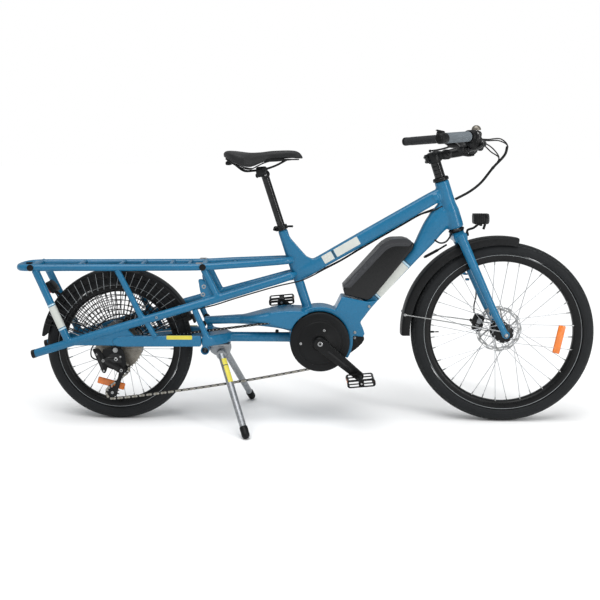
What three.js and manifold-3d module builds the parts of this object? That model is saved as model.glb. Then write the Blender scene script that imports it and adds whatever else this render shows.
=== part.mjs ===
// A longtail electric cargo bicycle, standing on its two-legged centre stand.
// Millimetres. +X points forward, +Y to the rider's left, +Z up.
// While the parts are built, x = 0 is the rear axle, y = 0 the wheel plane and z = 0 the ground.
// The finished group is shifted so that its origin is the middle of the footprint, on the ground.
import * as THREE from "three";
import { mergeVertices } from "three/addons/utils/BufferGeometryUtils.js";
import Module from "manifold-3d";

const wasm = await Module();
wasm.setup();

// ---------------------------------------------------------------- driving dimensions

const GAP = 0.3;                 // clearance between two touching pieces
const RIGHT = -1;
const LEFT = 1;

const WHEELBASE = 1321;
const REAR_RADIUS = 258;         // 20 inch wheel with a 54 mm tyre
const FRONT_RADIUS = 308;        // 24 inch wheel with a 54 mm tyre
const TYRE_WIDTH = 54;
const RIM_DROP = 68;             // from the tread down to the rim's inner edge
const RIM_HALF = 16;
const SPOKES = 28;
const ROTOR_RADIUS = 80;
const AXLE_RADIUS = 6;
const HUB_BORE = 6.6;

const BB = { x: 699, z: 283 };   // bottom bracket
const CRANK_LENGTH = 170;
const CRANK_ANGLE = THREE.MathUtils.degToRad(-40);  // right arm, from +X towards +Z
const CHAIN_Y = -54;
const CHAIN_HALF = 4.2;          // half the height of a chain plate
const CHAIN_WIDTH = 7;
const RING_TEETH = 42;
const COG_TEETH = 11;
const CHAIN_PITCH = 12.7;
const CHAIN_SAG = 9;             // of the slack lower run
const GUARD_RADIUS = 101;
const PEDAL_Y = 137;
const PEDAL_TILT = -0.08;

const STEER_LOW = { x: 1166, z: 664 };   // lower end of the head tube, on the steering axis
const STEER_HIGH = { x: 1117, z: 825 };  // upper end
const HEAD_RADIUS = 24.5;
const FORK_SPREAD = 47;          // fork leg's distance from the wheel plane, at the crown
const DROPOUT_SPREAD = 57;

const SEAT_TOP = { x: 575, z: 661 };     // top of the seat tube
const SEAT_SLOPE = -0.312;       // the seat tube's x for each z
const SEAT_TUBE_RADIUS = 17;
const SEATPOST_RADIUS = 13.6;
const SEATPOST_INSERT = 150;
const SEAT_BOLT = { x: 552, z: 664 };    // the clamp's bolt, behind the seatpost
const LEVER_BARREL = { y: 26, r: 6 };

const RAIL_Y = 75;               // the side frames' distance from the wheel plane
const RACK_Y = 64;
const RACK_Z = 541;
const RACK_REAR = -290;
const RACK_FRONT = 304;
const STAY_LOW = 270;            // chainstay's lower and upper edges
const STAY_HIGH = 308;

const STAND = { x: 362, z: 236 };        // the centre stand's pivot
const STAND_SHAFT = 8.4;         // its radius
const STAND_BORE = 9.7;          // wide enough for an eight-sided shaft to turn in
const STAND_FOOT = { x: 452, y: 212 };
const FOOT_HEIGHT = 22;          // of the flat rubber foot

// ---------------------------------------------------------------- geometry helpers

const LARGE = 16;                // facets round a large tube
const ROUND = 12;                // round a middling one
const SMALL = 8;                 // and round a small one

const V = (x, y, z) => new THREE.Vector3(x, y, z);

// A closed geometry as a solid.
function solid(geometry) {
  const bare = geometry.clone();
  bare.deleteAttribute("normal");
  bare.deleteAttribute("uv");
  bare.clearGroups();
  const merged = mergeVertices(bare, 1e-3);
  const corners = Uint32Array.from(merged.index.array);
  const vertProperties = Float32Array.from(merged.attributes.position.array);
  const made = new wasm.Manifold(new wasm.Mesh({ numProp: 3, vertProperties, triVerts: corners }));
  if (made.volume() >= 0) return made;
  for (let i = 0; i < corners.length; i += 3) corners.subarray(i, i + 3).reverse();
  return new wasm.Manifold(new wasm.Mesh({ numProp: 3, vertProperties, triVerts: corners }));
}

function joined(parts) {
  return parts.reduce((all, next) => all.add(next));
}

function cut(body, ...tools) {
  return tools.reduce((left, tool) => left.subtract(tool), body);
}

// A round bar from a to b; endRadius makes it taper.
function bar(a, b, radius, sides = ROUND, endRadius = radius) {
  const along = b.clone().sub(a);
  const geometry = new THREE.CylinderGeometry(endRadius, radius, along.length(), sides);
  geometry.applyQuaternion(new THREE.Quaternion().setFromUnitVectors(V(0, 1, 0), along.normalize()));
  const middle = a.clone().add(b).multiplyScalar(0.5);
  return solid(geometry.translate(middle.x, middle.y, middle.z));
}

// A round bar along Y.
function crossBar(x, z, yFrom, yTo, radius, sides = ROUND) {
  return bar(V(x, yFrom, z), V(x, yTo, z), radius, sides);
}

// A round rod bent smoothly through the points.
function rod(points, radius, sides = 10, steps = 24) {
  const section = new THREE.Shape();
  for (let i = 0; i < sides; i += 1) {
    const a = (2 * Math.PI * i) / sides;
    const corner = [radius * Math.cos(a), radius * Math.sin(a)];
    if (i === 0) section.moveTo(...corner);
    else section.lineTo(...corner);
  }
  section.closePath();
  const extrudePath = new THREE.CatmullRomCurve3(points, false, "centripetal");
  return solid(new THREE.ExtrudeGeometry(section, { steps, extrudePath }));
}

function outline(corners) {
  return new THREE.Shape(corners.map(([x, z]) => new THREE.Vector2(x, z)));
}

// An outline in the XZ plane, given thickness from yFrom to yTo. A bevel rounds its edges, and
// grow widens the outline.
function slab(shape, yFrom, yTo, bevel = 0, grow = 0) {
  const low = Math.min(yFrom, yTo);
  const high = Math.max(yFrom, yTo);
  const geometry = new THREE.ExtrudeGeometry(shape, {
    depth: high - low - 2 * bevel,
    bevelEnabled: bevel > 0,
    bevelThickness: bevel,
    bevelSize: bevel,
    bevelOffset: grow - bevel,
    bevelSegments: 2,
    curveSegments: 10,
  });
  geometry.rotateX(Math.PI / 2);
  return solid(geometry.translate(0, high - bevel, 0));
}

// A block with its middle at (x, y, z), turned by tilt about Y.
function block(x, y, z, lengthX, widthY, heightZ, tilt = 0) {
  const geometry = new THREE.BoxGeometry(lengthX, widthY, heightZ);
  geometry.rotateY(tilt);
  return solid(geometry.translate(x, y, z));
}

// A ring or disc about a line along Y through (x, z). The profile is a list of [radius, y].
function turned(profile, x, z, segments = 32) {
  const points = profile.map(([r, y]) => new THREE.Vector2(r, y));
  const geometry = new THREE.LatheGeometry(points, segments);
  return solid(geometry.translate(x, 0, z));
}

function ring(inner, outer, yFrom, yTo, x, z, segments = 32) {
  const profile = [[inner, yFrom], [outer, yFrom], [outer, yTo], [inner, yTo], [inner, yFrom]];
  return turned(profile, x, z, segments);
}

function disc(outer, yFrom, yTo, x, z, segments = 32) {
  return turned([[0, yFrom], [outer, yFrom], [outer, yTo], [0, yTo]], x, z, segments);
}

// A point on the steering axis, so far up from the head tube's lower end, and forward of it.
const steerUp = V(STEER_HIGH.x - STEER_LOW.x, 0, STEER_HIGH.z - STEER_LOW.z).normalize();
const steerForward = V(steerUp.z, 0, -steerUp.x);
const HEAD_LENGTH = Math.hypot(STEER_HIGH.x - STEER_LOW.x, STEER_HIGH.z - STEER_LOW.z);

function steer(up, forward = 0, y = 0) {
  const point = V(STEER_LOW.x, y, STEER_LOW.z);
  return point.addScaledVector(steerUp, up).addScaledVector(steerForward, forward);
}

// A point on the seat tube's axis, so far down from its top.
const seatDown = V(-SEAT_SLOPE, 0, -1).normalize();

function seat(down, y = 0) {
  return V(SEAT_TOP.x, y, SEAT_TOP.z).addScaledVector(seatDown, down);
}

// ---------------------------------------------------------------- the group

const bicycle = new THREE.Group();

const FINISH = {
  bluePaint: [0x2b76a5, 0.35, 0.3],
  black: [0x17191b, 0.5, 0.1],
  blackMetal: [0x1c1e20, 0.35, 0.7],
  silver: [0xb8bcc0, 0.3, 0.9],
  rubber: [0x141516, 0.85, 0.0],
  gripGrey: [0x4a4d50, 0.8, 0.0],
  chainSteel: [0x6d6a64, 0.4, 0.9],
  redLens: [0xa81515, 0.2, 0.0],
};

function node(name, body, finish) {
  const made = body.getMesh();
  const geometry = new THREE.BufferGeometry();
  geometry.setAttribute("position", new THREE.BufferAttribute(made.vertProperties, 3));
  geometry.setIndex(new THREE.BufferAttribute(made.triVerts, 1));
  geometry.computeVertexNormals();
  const [color, roughness, metalness] = FINISH[finish];
  const material = new THREE.MeshStandardMaterial({ color, roughness, metalness });
  const mesh = new THREE.Mesh(geometry, material);
  mesh.name = name;
  bicycle.add(mesh);
  return mesh;
}

// ---------------------------------------------------------------- wheels

// A tyre's tread point lies on z = 0 exactly, because a corner of the ring faces straight down.
function tyre(radius, x) {
  const half = TYRE_WIDTH / 2;
  const middle = radius - half;
  const profile = [];
  const round = 6;
  for (let i = 0; i <= round; i += 1) {
    const a = THREE.MathUtils.degToRad(-118 + (236 * i) / round);
    profile.push([middle + half * Math.cos(a), half * Math.sin(a)]);
  }
  profile.push([profile[0][0], profile[0][1]]);
  return turned(profile, x, radius, 40);
}

function wheel(radius, x, hub, flanges) {
  const rimOuter = radius - TYRE_WIDTH / 2 - 14;
  const rimInner = radius - RIM_DROP;
  const parts = [
    turned([
      [rimInner, -RIM_HALF + 5], [rimOuter, -RIM_HALF], [rimOuter, RIM_HALF],
      [rimInner, RIM_HALF - 5], [rimInner, -RIM_HALF + 5],
    ], x, radius, 40),
    turned(hub.concat([hub[0]]), x, radius, ROUND),
  ];
  const lacing = THREE.MathUtils.degToRad(66);
  for (let i = 0; i < SPOKES; i += 1) {
    const flange = flanges[i % 2];
    const rimAngle = (2 * Math.PI * (i + 0.5)) / SPOKES;
    const ahead = i % 4 < 2 ? 1 : -1;
    const hubAngle = rimAngle + ahead * lacing;
    const y = flange.y + 1.6 * ahead;
    const a = V(x + flange.r * Math.cos(hubAngle), y, radius + flange.r * Math.sin(hubAngle));
    const reach = rimInner + 3;
    const b = V(x + reach * Math.cos(rimAngle), 0.25 * flange.y, radius + reach * Math.sin(rimAngle));
    parts.push(bar(a, b, 1.2, 3));
  }
  return joined(parts);
}

// A brake rotor: a braking ring on six arms.
function rotor(y, x, z, bore) {
  const parts = [
    ring(ROTOR_RADIUS - 15, ROTOR_RADIUS, y - 1, y + 1, x, z, 24),
    ring(bore, 24, y - 1, y + 1, x, z, 12),
  ];
  for (let i = 0; i < 6; i += 1) {
    const a = (2 * Math.PI * i) / 6;
    const b = a + 0.5;
    const from = V(x + 21 * Math.cos(a), y, z + 21 * Math.sin(a));
    const to = V(x + 68 * Math.cos(b), y, z + 68 * Math.sin(b));
    const arm = new THREE.BoxGeometry(from.distanceTo(to), 2, 7);
    arm.rotateY(-Math.atan2(to.z - from.z, to.x - from.x));
    const middle = from.add(to).multiplyScalar(0.5);
    parts.push(solid(arm.translate(middle.x, middle.y, middle.z)));
  }
  return joined(parts);
}

const REAR_HUB = [
  [HUB_BORE, -17], [22, -17], [25, -13], [25, -9], [16, -6], [16, 26], [25, 30], [25, 34],
  [20, 38], [20, 48.7], [HUB_BORE, 48.7],
];
const FRONT_HUB = [
  [HUB_BORE, -44], [12, -44], [12, -32], [24, -30], [24, -26], [14, -22], [14, 20], [24, 24],
  [24, 28], [20, 31], [20, 38.7], [HUB_BORE, 38.7],
];
const REAR_ROTOR_Y = 50;
const FRONT_ROTOR_Y = 40;

node("rear_tyre", tyre(REAR_RADIUS, 0), "rubber");
node("rear_wheel", cut(
  wheel(REAR_RADIUS, 0, REAR_HUB, [{ r: 23, y: -11 }, { r: 23, y: 32 }]),
  ring(REAR_RADIUS - TYRE_WIDTH / 2 - 14 - GAP, REAR_RADIUS, -40, 40, 0, REAR_RADIUS, 40),
), "blackMetal");
node("rear_rotor", rotor(REAR_ROTOR_Y, 0, REAR_RADIUS, HUB_BORE + 6), "silver");

node("front_tyre", tyre(FRONT_RADIUS, WHEELBASE), "rubber");
node("front_wheel", cut(
  wheel(FRONT_RADIUS, WHEELBASE, FRONT_HUB, [{ r: 22, y: -28 }, { r: 22, y: 26 }]),
  ring(FRONT_RADIUS - TYRE_WIDTH / 2 - 14 - GAP, FRONT_RADIUS, -40, 40, WHEELBASE, FRONT_RADIUS, 40),
), "blackMetal");
node("front_rotor", rotor(FRONT_ROTOR_Y, WHEELBASE, FRONT_RADIUS, HUB_BORE + 6), "silver");

// An axle with a bolt head at each end.
function axle(x, z, half, grip) {
  return joined([
    crossBar(x, z, -half, half, AXLE_RADIUS, ROUND),
    crossBar(x, z, -half, -grip - GAP, 9, SMALL),
    crossBar(x, z, grip + GAP, half, 9, SMALL),
  ]);
}

node("rear_axle", axle(0, REAR_RADIUS, 83, 73), "silver");

// ---------------------------------------------------------------- cassette and chain

function pitchRadius(teeth) {
  return CHAIN_PITCH / (2 * Math.sin(Math.PI / teeth));
}

const ROOT_CLEARANCE = CHAIN_HALF + 1.2;

function cassette() {
  const profile = [[HUB_BORE, -19]];
  const cogs = 5;
  const step = 13.4;
  for (let i = 0; i < cogs; i += 1) {
    const r = 86 - i * step;
    const y = -21 - i * 6;
    profile.push([r, y], [r, y - 2.2], [r - step, y - 2.2]);
  }
  const smallRoot = pitchRadius(COG_TEETH) - ROOT_CLEARANCE;
  profile.push([smallRoot, -50], [smallRoot, -60], [HUB_BORE, -60], [HUB_BORE, -19]);
  return turned(profile, 0, REAR_RADIUS, LARGE);
}
node("cassette", cassette(), "silver");

const GUIDE = { x: 20, z: 188, r: pitchRadius(11), turn: -1 };
const TENSION = { x: -17, z: 105, r: pitchRadius(11), turn: 1 };
const RING = { x: BB.x, z: BB.z, r: pitchRadius(RING_TEETH), turn: 1 };
const COG = { x: 0, z: REAR_RADIUS, r: pitchRadius(COG_TEETH), turn: 1 };

// The angle of the straight run from wheel a to wheel b, and the contact normal along it.
function runBetween(a, b) {
  const dx = b.x - a.x;
  const dz = b.z - a.z;
  const lean = Math.asin((a.r * a.turn - b.r * b.turn) / Math.hypot(dx, dz));
  const angle = Math.atan2(dz, dx) - lean;
  return { angle, nx: -Math.sin(angle), nz: Math.cos(angle) };
}

// The chain's centre line as a closed list of {x, z, nx, nz}, n being the outward normal.
function chainLine() {
  const wheels = [COG, RING, TENSION, GUIDE];
  const runs = wheels.map((w, i) => runBetween(w, wheels[(i + 1) % wheels.length]));
  const line = [];
  wheels.forEach((w, i) => {
    const incoming = runs[(i + wheels.length - 1) % wheels.length];
    const leaving = runs[i];
    let sweep = (incoming.angle - leaving.angle) * w.turn;
    while (sweep < 0) sweep += 2 * Math.PI;
    const steps = Math.max(3, Math.round(sweep / (w.r > 50 ? 0.18 : 0.32)));
    for (let k = 0; k <= steps; k += 1) {
      const angle = incoming.angle - (w.turn * sweep * k) / steps;
      const nx = -Math.sin(angle);
      const nz = Math.cos(angle);
      line.push({ x: w.x + w.turn * w.r * nx, z: w.z + w.turn * w.r * nz, nx, nz });
    }
    if (w !== RING) return;
    const from = line[line.length - 1];
    const endX = TENSION.x + TENSION.r * leaving.nx;
    const endZ = TENSION.z + TENSION.r * leaving.nz;
    for (let k = 1; k < 8; k += 1) {
      const t = k / 8;
      const sag = CHAIN_SAG * 4 * t * (1 - t);
      const x = THREE.MathUtils.lerp(from.x, endX, t);
      const z = THREE.MathUtils.lerp(from.z, endZ, t) - sag;
      line.push({ x, z, nx: leaving.nx, nz: leaving.nz });
    }
  });
  return line;
}

function chain() {
  const line = chainLine();
  const shifted = (by) => line.map((p) => new THREE.Vector2(p.x + by * p.nx, p.z + by * p.nz));
  const shape = new THREE.Shape(shifted(CHAIN_HALF));
  shape.holes.push(new THREE.Path(shifted(-CHAIN_HALF).reverse()));
  return slab(shape, CHAIN_Y - CHAIN_WIDTH / 2, CHAIN_Y + CHAIN_WIDTH / 2);
}
node("chain", chain(), "chainSteel");

function jockey(wheelAt) {
  const root = wheelAt.r - ROOT_CLEARANCE;
  return ring(3.4, root, CHAIN_Y - 2.5, CHAIN_Y + 2.5, wheelAt.x, wheelAt.z, LARGE);
}
node("guide_pulley", jockey(GUIDE), "black");
node("tension_pulley", jockey(TENSION), "black");

// The cage: two plates outside the chain, held together by the pulleys' bolts.
function derailleurCage() {
  const plate = (y) => {
    const ends = [GUIDE, TENSION].map((w) => crossBar(w.x, w.z, y - 1, y + 1, 11, ROUND));
    const middle = { x: (GUIDE.x + TENSION.x) / 2, z: (GUIDE.z + TENSION.z) / 2 };
    const length = Math.hypot(GUIDE.x - TENSION.x, GUIDE.z - TENSION.z);
    const tilt = Math.atan2(GUIDE.x - TENSION.x, GUIDE.z - TENSION.z);
    return joined([...ends, block(middle.x, y, middle.z, 17, 2, length, tilt)]);
  };
  const pins = [GUIDE, TENSION].map((w) => crossBar(w.x, w.z, CHAIN_Y - 5.5, CHAIN_Y + 5.5, 3, SMALL));
  return joined([plate(CHAIN_Y - 5.8), plate(CHAIN_Y + 5.8), ...pins]);
}
node("derailleur_cage", derailleurCage(), "blackMetal");

// The hanger, knuckles and parallelogram, outboard of the cage.
function derailleurBody() {
  const outboard = -63;
  return joined([
    crossBar(2, 227, outboard, -80, 11),
    bar(V(2, -74, 227), V(-42, -76, 222), 8, SMALL),
    crossBar(-42, 222, outboard - 2, -84, 11),
    bar(V(-42, -76, 222), V(GUIDE.x, -74, GUIDE.z), 11, SMALL, 9),
    crossBar(GUIDE.x, GUIDE.z, -61.5, -82, 11),
  ]);
}
node("derailleur_body", derailleurBody(), "blackMetal");

// ---------------------------------------------------------------- the welded frame

function headTube(grow = 0) {
  return bar(steer(-grow), steer(HEAD_LENGTH + grow), HEAD_RADIUS + grow, LARGE);
}

function seatTube(grow = 0) {
  return bar(seat(-grow), seat(278 + grow), SEAT_TUBE_RADIUS + grow, ROUND);
}

const DOWN_TUBE_SIDE = outline([
  [846, 352], [884, 398], [1048, 572], [1093, 621], [1124, 660], [1152, 664], [1130, 760],
  [1108, 747], [1083, 717], [1047, 668], [1035, 640], [1022, 601], [862, 428], [820, 384],
]);
const DOWN_TUBE_HALF = 23;

const TOP_TUBE_SIDE = outline([
  [636, 488], [700, 521], [775, 559], [912, 639], [1048, 716], [1108, 750], [1135, 762],
  [1128, 806], [1085, 788], [878, 674], [706, 574], [690, 563], [676, 560], [657, 568],
  [640, 588], [604, 630], [588, 622], [610, 560],
]);
const TOP_TUBE_HALF = 20;

const BEAM_SIDE = outline([
  [306, 334], [374, 336], [427, 335], [479, 329], [566, 318], [640, 300], [640, 383],
  [566, 377], [427, 365], [306, 357],
]);
const BEAM_HALF = 22;

const CRADLE_RADIUS = 115;
const MOTOR_RADIUS = 98;
const CRADLE_HALF = 43;
const CRADLE_TOP = outline([
  [700, 384], [755, 391], [776, 436], [865, 418], [897, 418], [843, 363], [838, 346], [838, 300],
  [790, 285], [700, 285],
]);

// The shell that the motor hangs in, with the beam that runs back from it.
function motorCradle() {
  const shell = joined([
    disc(CRADLE_RADIUS, -CRADLE_HALF, CRADLE_HALF, BB.x + 1, BB.z + 2, 40),
    slab(CRADLE_TOP, -CRADLE_HALF, CRADLE_HALF),
    slab(BEAM_SIDE, -BEAM_HALF, BEAM_HALF, 7),
    crossBar(302, 345, -62, 62, 13),
  ]);
  return cut(shell, motorSpace(GAP), seatTube(GAP), downTube(GAP), lowerTube(GAP));
}

const MOTOR_BULGE = outline([
  [760, 330], [838, 312], [852, 287], [838, 268], [804, 240], [786, 228], [740, 215],
]);

function motorSpace(grow = 0, half = 60) {
  return joined([
    disc(MOTOR_RADIUS + grow, -half, half, BB.x + 1, BB.z + 2, 40),
    slab(MOTOR_BULGE, -half, half),
  ]);
}

function downTube(grow = 0) {
  return slab(DOWN_TUBE_SIDE, -DOWN_TUBE_HALF - grow, DOWN_TUBE_HALF + grow, 9, grow);
}

// The lower tube, its yoke round the rear wheel, and the cross tube below the yoke.
function lowerTube(grow = 0) {
  const yoke = new THREE.Shape([
    [296, -88], [330, -88], [372, -44], [398, -17], [398, 17], [372, 44], [330, 88], [296, 88],
  ].map(([x, y]) => new THREE.Vector2(x, y)));
  const plate = new THREE.ExtrudeGeometry(yoke, { depth: STAY_HIGH - STAY_LOW, bevelEnabled: false });
  plate.translate(0, 0, STAY_LOW);
  return joined([
    bar(V(380, 0, 288), V(598, 0, 287), 17 + grow, ROUND),
    solid(plate),
    crossBar(308, 256, -80, 80, 15),
    ...[RIGHT, LEFT].map((side) => (
      bar(V(320, side * 76, 300), V(272, side * 73, 402), 10.5 + grow, SMALL)
    )),
  ]);
}

// The lower bearing cup is pressed into the head tube, and is one piece with it here.
node("head_tube", cut(
  joined([headTube(), bar(steer(-10), steer(1), 27, LARGE)]),
  bar(steer(-15), steer(HEAD_LENGTH + 5), 18.5, LARGE),
), "bluePaint");
node("seat_tube", cut(
  seatTube(),
  bar(seat(-5), seat(290), SEATPOST_RADIUS + GAP, ROUND),
), "bluePaint");
node("down_tube", cut(downTube(), headTube(GAP), slab(TOP_TUBE_SIDE, -30, 30)), "bluePaint");
node("top_tube", cut(
  slab(TOP_TUBE_SIDE, -TOP_TUBE_HALF, TOP_TUBE_HALF, 8),
  headTube(GAP), seatTube(GAP),
), "bluePaint");
node("motor_cradle", motorCradle(), "bluePaint");
node("motor_unit", cut(
  motorSpace(0, 46),
  ring(GUARD_RADIUS - 4, 400, -80, -43, BB.x, BB.z, 32),
  crossBar(BB.x, BB.z, -80, 80, 12 + GAP),
  downTube(GAP),
), "black");

// Each side of the rear frame: a long diagonal rail with the struts that carry the rack.
const STRUTS = [
  { from: [-277, RACK_Z - 8], to: [-166, 292], r: 13 },
  { from: [8, RACK_Z - 8], to: [92, 372], r: 10.5 },
  { from: [306, RACK_Z - 6], to: [358, 428], r: 12 },
];
const RAIL_POINTS = [[-283, RAIL_Y, 244], [-16, RAIL_Y, 326], [106, RAIL_Y, 362], [330, 66, 427],
  [480, 46, 470], [606, 30, 506]];

function sideRail(side, grow = 0) {
  return rod(RAIL_POINTS.map(([x, y, z]) => V(x, side * y, z)), 14.5 + grow, SMALL, 10);
}

function sideFrame(side) {
  const parts = [sideRail(side)];
  STRUTS.forEach(({ from, to, r }) => {
    parts.push(bar(V(from[0], side * RACK_Y, from[1]), V(to[0], side * RAIL_Y, to[1]), r, SMALL));
  });
  const plate = outline([[-160, 300], [-154, 273], [-24, 273], [-8, 305], [34, 330], [-30, 330]]);
  parts.push(slab(plate, side * 68, side * 80));
  return cut(
    joined(parts),
    rackDeck(GAP), topTubeCut(), seatTube(GAP), chainstay(side, GAP),
  );
}

function topTubeCut() {
  return slab(TOP_TUBE_SIDE, -TOP_TUBE_HALF - GAP, TOP_TUBE_HALF + GAP);
}

const STAY_SIDE = outline([
  [-14, 292], [0, 272], [18, STAY_LOW], [296 - GAP, STAY_LOW], [296 - GAP, STAY_HIGH],
  [30, STAY_HIGH], [4, 304],
]);

// A chainstay, its dropout plate, and the short struts up to the diagonal rail.
function chainstay(side, grow = 0) {
  const dropout = outline([[-16, 240], [16, 240], [22, 286], [-8, 286]]);
  const parts = [
    slab(STAY_SIDE, side * (62 - grow), side * (84 + grow), 5),
    slab(dropout, side * 66, side * 72),
    bar(V(139, side * 76, 304), V(104, side * RAIL_Y, 364), 9.5 + grow, SMALL),
  ];
  if (grow > 0) return joined(parts);
  return cut(joined(parts), crossBar(0, REAR_RADIUS, -100, 100, AXLE_RADIUS + GAP, ROUND));
}

// The rack: two rails, a rear bumper loop and eight cross bars.
const RACK_BARS = [-130, 12, 88, 188, 251, 408];

function rackDeck(grow = 0) {
  const loop = [];
  [RIGHT, LEFT].forEach((side) => {
    const points = [[590, 27, 557], [500, 45, 552], [400, 58, 547], [RACK_FRONT, RACK_Y, RACK_Z + 1],
      [100, RACK_Y, RACK_Z], [-150, RACK_Y, RACK_Z], [-290, RACK_Y, RACK_Z], [-330, 50, RACK_Z - 1]]
      .map(([x, y, z]) => V(x, side * y, z));
    loop.push(...(side === RIGHT ? points : points.reverse()));
    if (side === RIGHT) loop.push(V(-344, 0, RACK_Z - 2));
  });
  const parts = [rod(loop, 12.2 + grow, SMALL, 28)];
  RACK_BARS.forEach((x) => {
    const reach = x > RACK_FRONT ? 52 : RACK_Y - 6;
    parts.push(crossBar(x, RACK_Z + 5, -reach, reach, 6, 6));
  });
  [RACK_REAR, RACK_FRONT].forEach((x) => parts.push(crossBar(x, RACK_Z + 1, -80, 80, 11 + grow, SMALL)));
  return joined(parts);
}

node("lower_tube", cut(
  lowerTube(),
  disc(CRADLE_RADIUS + GAP, -60, 60, BB.x + 1, BB.z + 2, 40),
  sideRail(RIGHT, GAP), sideRail(LEFT, GAP),
), "bluePaint");
node("right_side_frame", sideFrame(RIGHT), "bluePaint");
node("left_side_frame", sideFrame(LEFT), "bluePaint");
node("right_chainstay", cut(chainstay(RIGHT), sideRail(RIGHT, GAP), lowerTube(GAP)), "bluePaint");
node("left_chainstay", cut(chainstay(LEFT), sideRail(LEFT, GAP), lowerTube(GAP)), "bluePaint");
node("rack_deck", cut(rackDeck(), seatTube(GAP), topTubeCut()), "bluePaint");

// ---------------------------------------------------------------- seat

// The clamp collar, with the bolt through the ears behind it.
function seatClamp() {
  return cut(
    joined([
      bar(seat(-16), seat(-GAP), 20, ROUND),
      block(SEAT_BOLT.x, 0, SEAT_BOLT.z, 14, 26, 14, 0.3),
      crossBar(SEAT_BOLT.x, SEAT_BOLT.z, -18, LEVER_BARREL.y - LEVER_BARREL.r - GAP, 3.5, SMALL),
    ]),
    bar(seat(-30), seat(10), SEATPOST_RADIUS + GAP, ROUND),
    seatTube(GAP),
  );
}
node("seat_clamp", seatClamp(), "blackMetal");

// The lever turns on an upright barrel at the end of the clamp's bolt.
node("seat_quick_release", joined([
  bar(V(SEAT_BOLT.x, LEVER_BARREL.y, SEAT_BOLT.z - 7), V(SEAT_BOLT.x, LEVER_BARREL.y, SEAT_BOLT.z + 7),
    LEVER_BARREL.r, ROUND),
  rod([V(SEAT_BOLT.x, 26, SEAT_BOLT.z), V(575, 34, 668), V(600, 32, 670), V(612, 28, 670)], 4, SMALL, 6),
]), "blackMetal");

const SADDLE_RAIL_Z = 866;

function seatpost() {
  const head = seat(-196);
  return joined([
    bar(seat(SEATPOST_INSERT), head, SEATPOST_RADIUS, ROUND),
    crossBar(head.x + 2, head.z + 6, -17, 17, 15, ROUND),
    block(head.x - 20, 0, head.z + 4, 50, 30, 12, -0.12),
  ]);
}
node("seatpost", seatpost(), "blackMetal");

function saddle() {
  const top = new THREE.Shape();
  top.moveTo(374, 0);
  top.bezierCurveTo(372, 78, 430, 84, 462, 62);
  top.bezierCurveTo(510, 28, 560, 20, 628, 20);
  top.bezierCurveTo(652, 18, 652, -18, 628, -20);
  top.bezierCurveTo(560, -20, 510, -28, 462, -62);
  top.bezierCurveTo(430, -84, 372, -78, 374, 0);
  const pad = new THREE.ExtrudeGeometry(top, {
    depth: 16, bevelEnabled: true, bevelThickness: 8, bevelSize: 8, bevelOffset: -8,
    bevelSegments: 2, curveSegments: 5,
  });
  pad.translate(0, 0, 905);
  const rails = [RIGHT, LEFT].map((side) => rod([
    V(400, side * 22, 903), V(420, side * 22, 886), V(452, side * 22, SADDLE_RAIL_Z + 2),
    V(520, side * 22, SADDLE_RAIL_Z + 6), V(556, side * 20, 884), V(592, side * 14, 903),
  ], 3.5, 6, 7));
  return joined([solid(pad), ...rails]);
}
node("saddle", saddle(), "black");

// ---------------------------------------------------------------- drive

const armRight = V(Math.cos(CRANK_ANGLE), 0, Math.sin(CRANK_ANGLE));

function crankArm(side) {
  const out = armRight.clone().multiplyScalar(side === RIGHT ? CRANK_LENGTH : -CRANK_LENGTH);
  const x = BB.x + out.x;
  const z = BB.z + out.z;
  return joined([
    crossBar(BB.x, BB.z, side * 74, side * 92, 19, LARGE),
    block(BB.x + out.x / 2, side * 85, BB.z + out.z / 2, CRANK_LENGTH, 13, 27, -CRANK_ANGLE),
    crossBar(x, z, side * 78, side * 92, 15, ROUND),
    crossBar(x, z, side * 90, side * (PEDAL_Y + 44), 4, SMALL),
  ]);
}
node("right_crank", joined([
  crankArm(RIGHT),
  crossBar(BB.x, BB.z, -80, 73.5, 10, ROUND),
]), "blackMetal");
node("left_crank", crankArm(LEFT), "blackMetal");

// The chainring on its spider, with the round guard disc outside it.
function chainring() {
  const root = RING.r - ROOT_CLEARANCE;
  return joined([
    ring(10 + GAP, root, CHAIN_Y - 2, CHAIN_Y + 2, BB.x, BB.z, 28),
    turned([[10 + GAP, -60], [GUARD_RADIUS, -60], [GUARD_RADIUS, -65], [70, -70], [24, -71],
      [10 + GAP, -71], [10 + GAP, -60]], BB.x, BB.z, 28),
    ring(10 + GAP, 40, -62, CHAIN_Y, BB.x, BB.z, ROUND),
  ]);
}
node("chainring_guard", chainring(), "black");

function pedal(side) {
  const out = armRight.clone().multiplyScalar(side === RIGHT ? CRANK_LENGTH : -CRANK_LENGTH);
  const x = BB.x + out.x;
  const z = BB.z + out.z;
  const tread = (forward, length, width, height) => {
    const piece = new THREE.BoxGeometry(length, width, height).translate(forward, 0, 0);
    return solid(piece.rotateY(PEDAL_TILT).translate(x, side * PEDAL_Y, z));
  };
  return cut(
    tread(0, 92, 80, 20),
    tread(25, 27, 60, 40),
    tread(-25, 27, 60, 40),
    crossBar(x, z, -300, 300, 4 + GAP, SMALL),
  );
}
node("right_pedal", pedal(RIGHT), "black");
node("left_pedal", pedal(LEFT), "black");

const BATTERY_SIDE = outline([
  [775, 468], [783, 434], [864, 416], [882, 430], [1022, 600], [1023, 618], [1010, 628], [990, 634],
  [945, 633], [925, 624], [908, 611],
]);

const battery = cut(
  slab(BATTERY_SIDE, -40, 40, 7),
  slab(DOWN_TUBE_SIDE, -60, 60),
  slab(CRADLE_TOP, -60, 60),
);
// Lifted clear of the tube and cradle it rests on.
const batteryMesh = node("battery", battery, "black");
batteryMesh.position.set(-0.5, 0, 0.6);

// ---------------------------------------------------------------- rear guards, light and brake

const FENDER_OUTER = 275;

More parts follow.
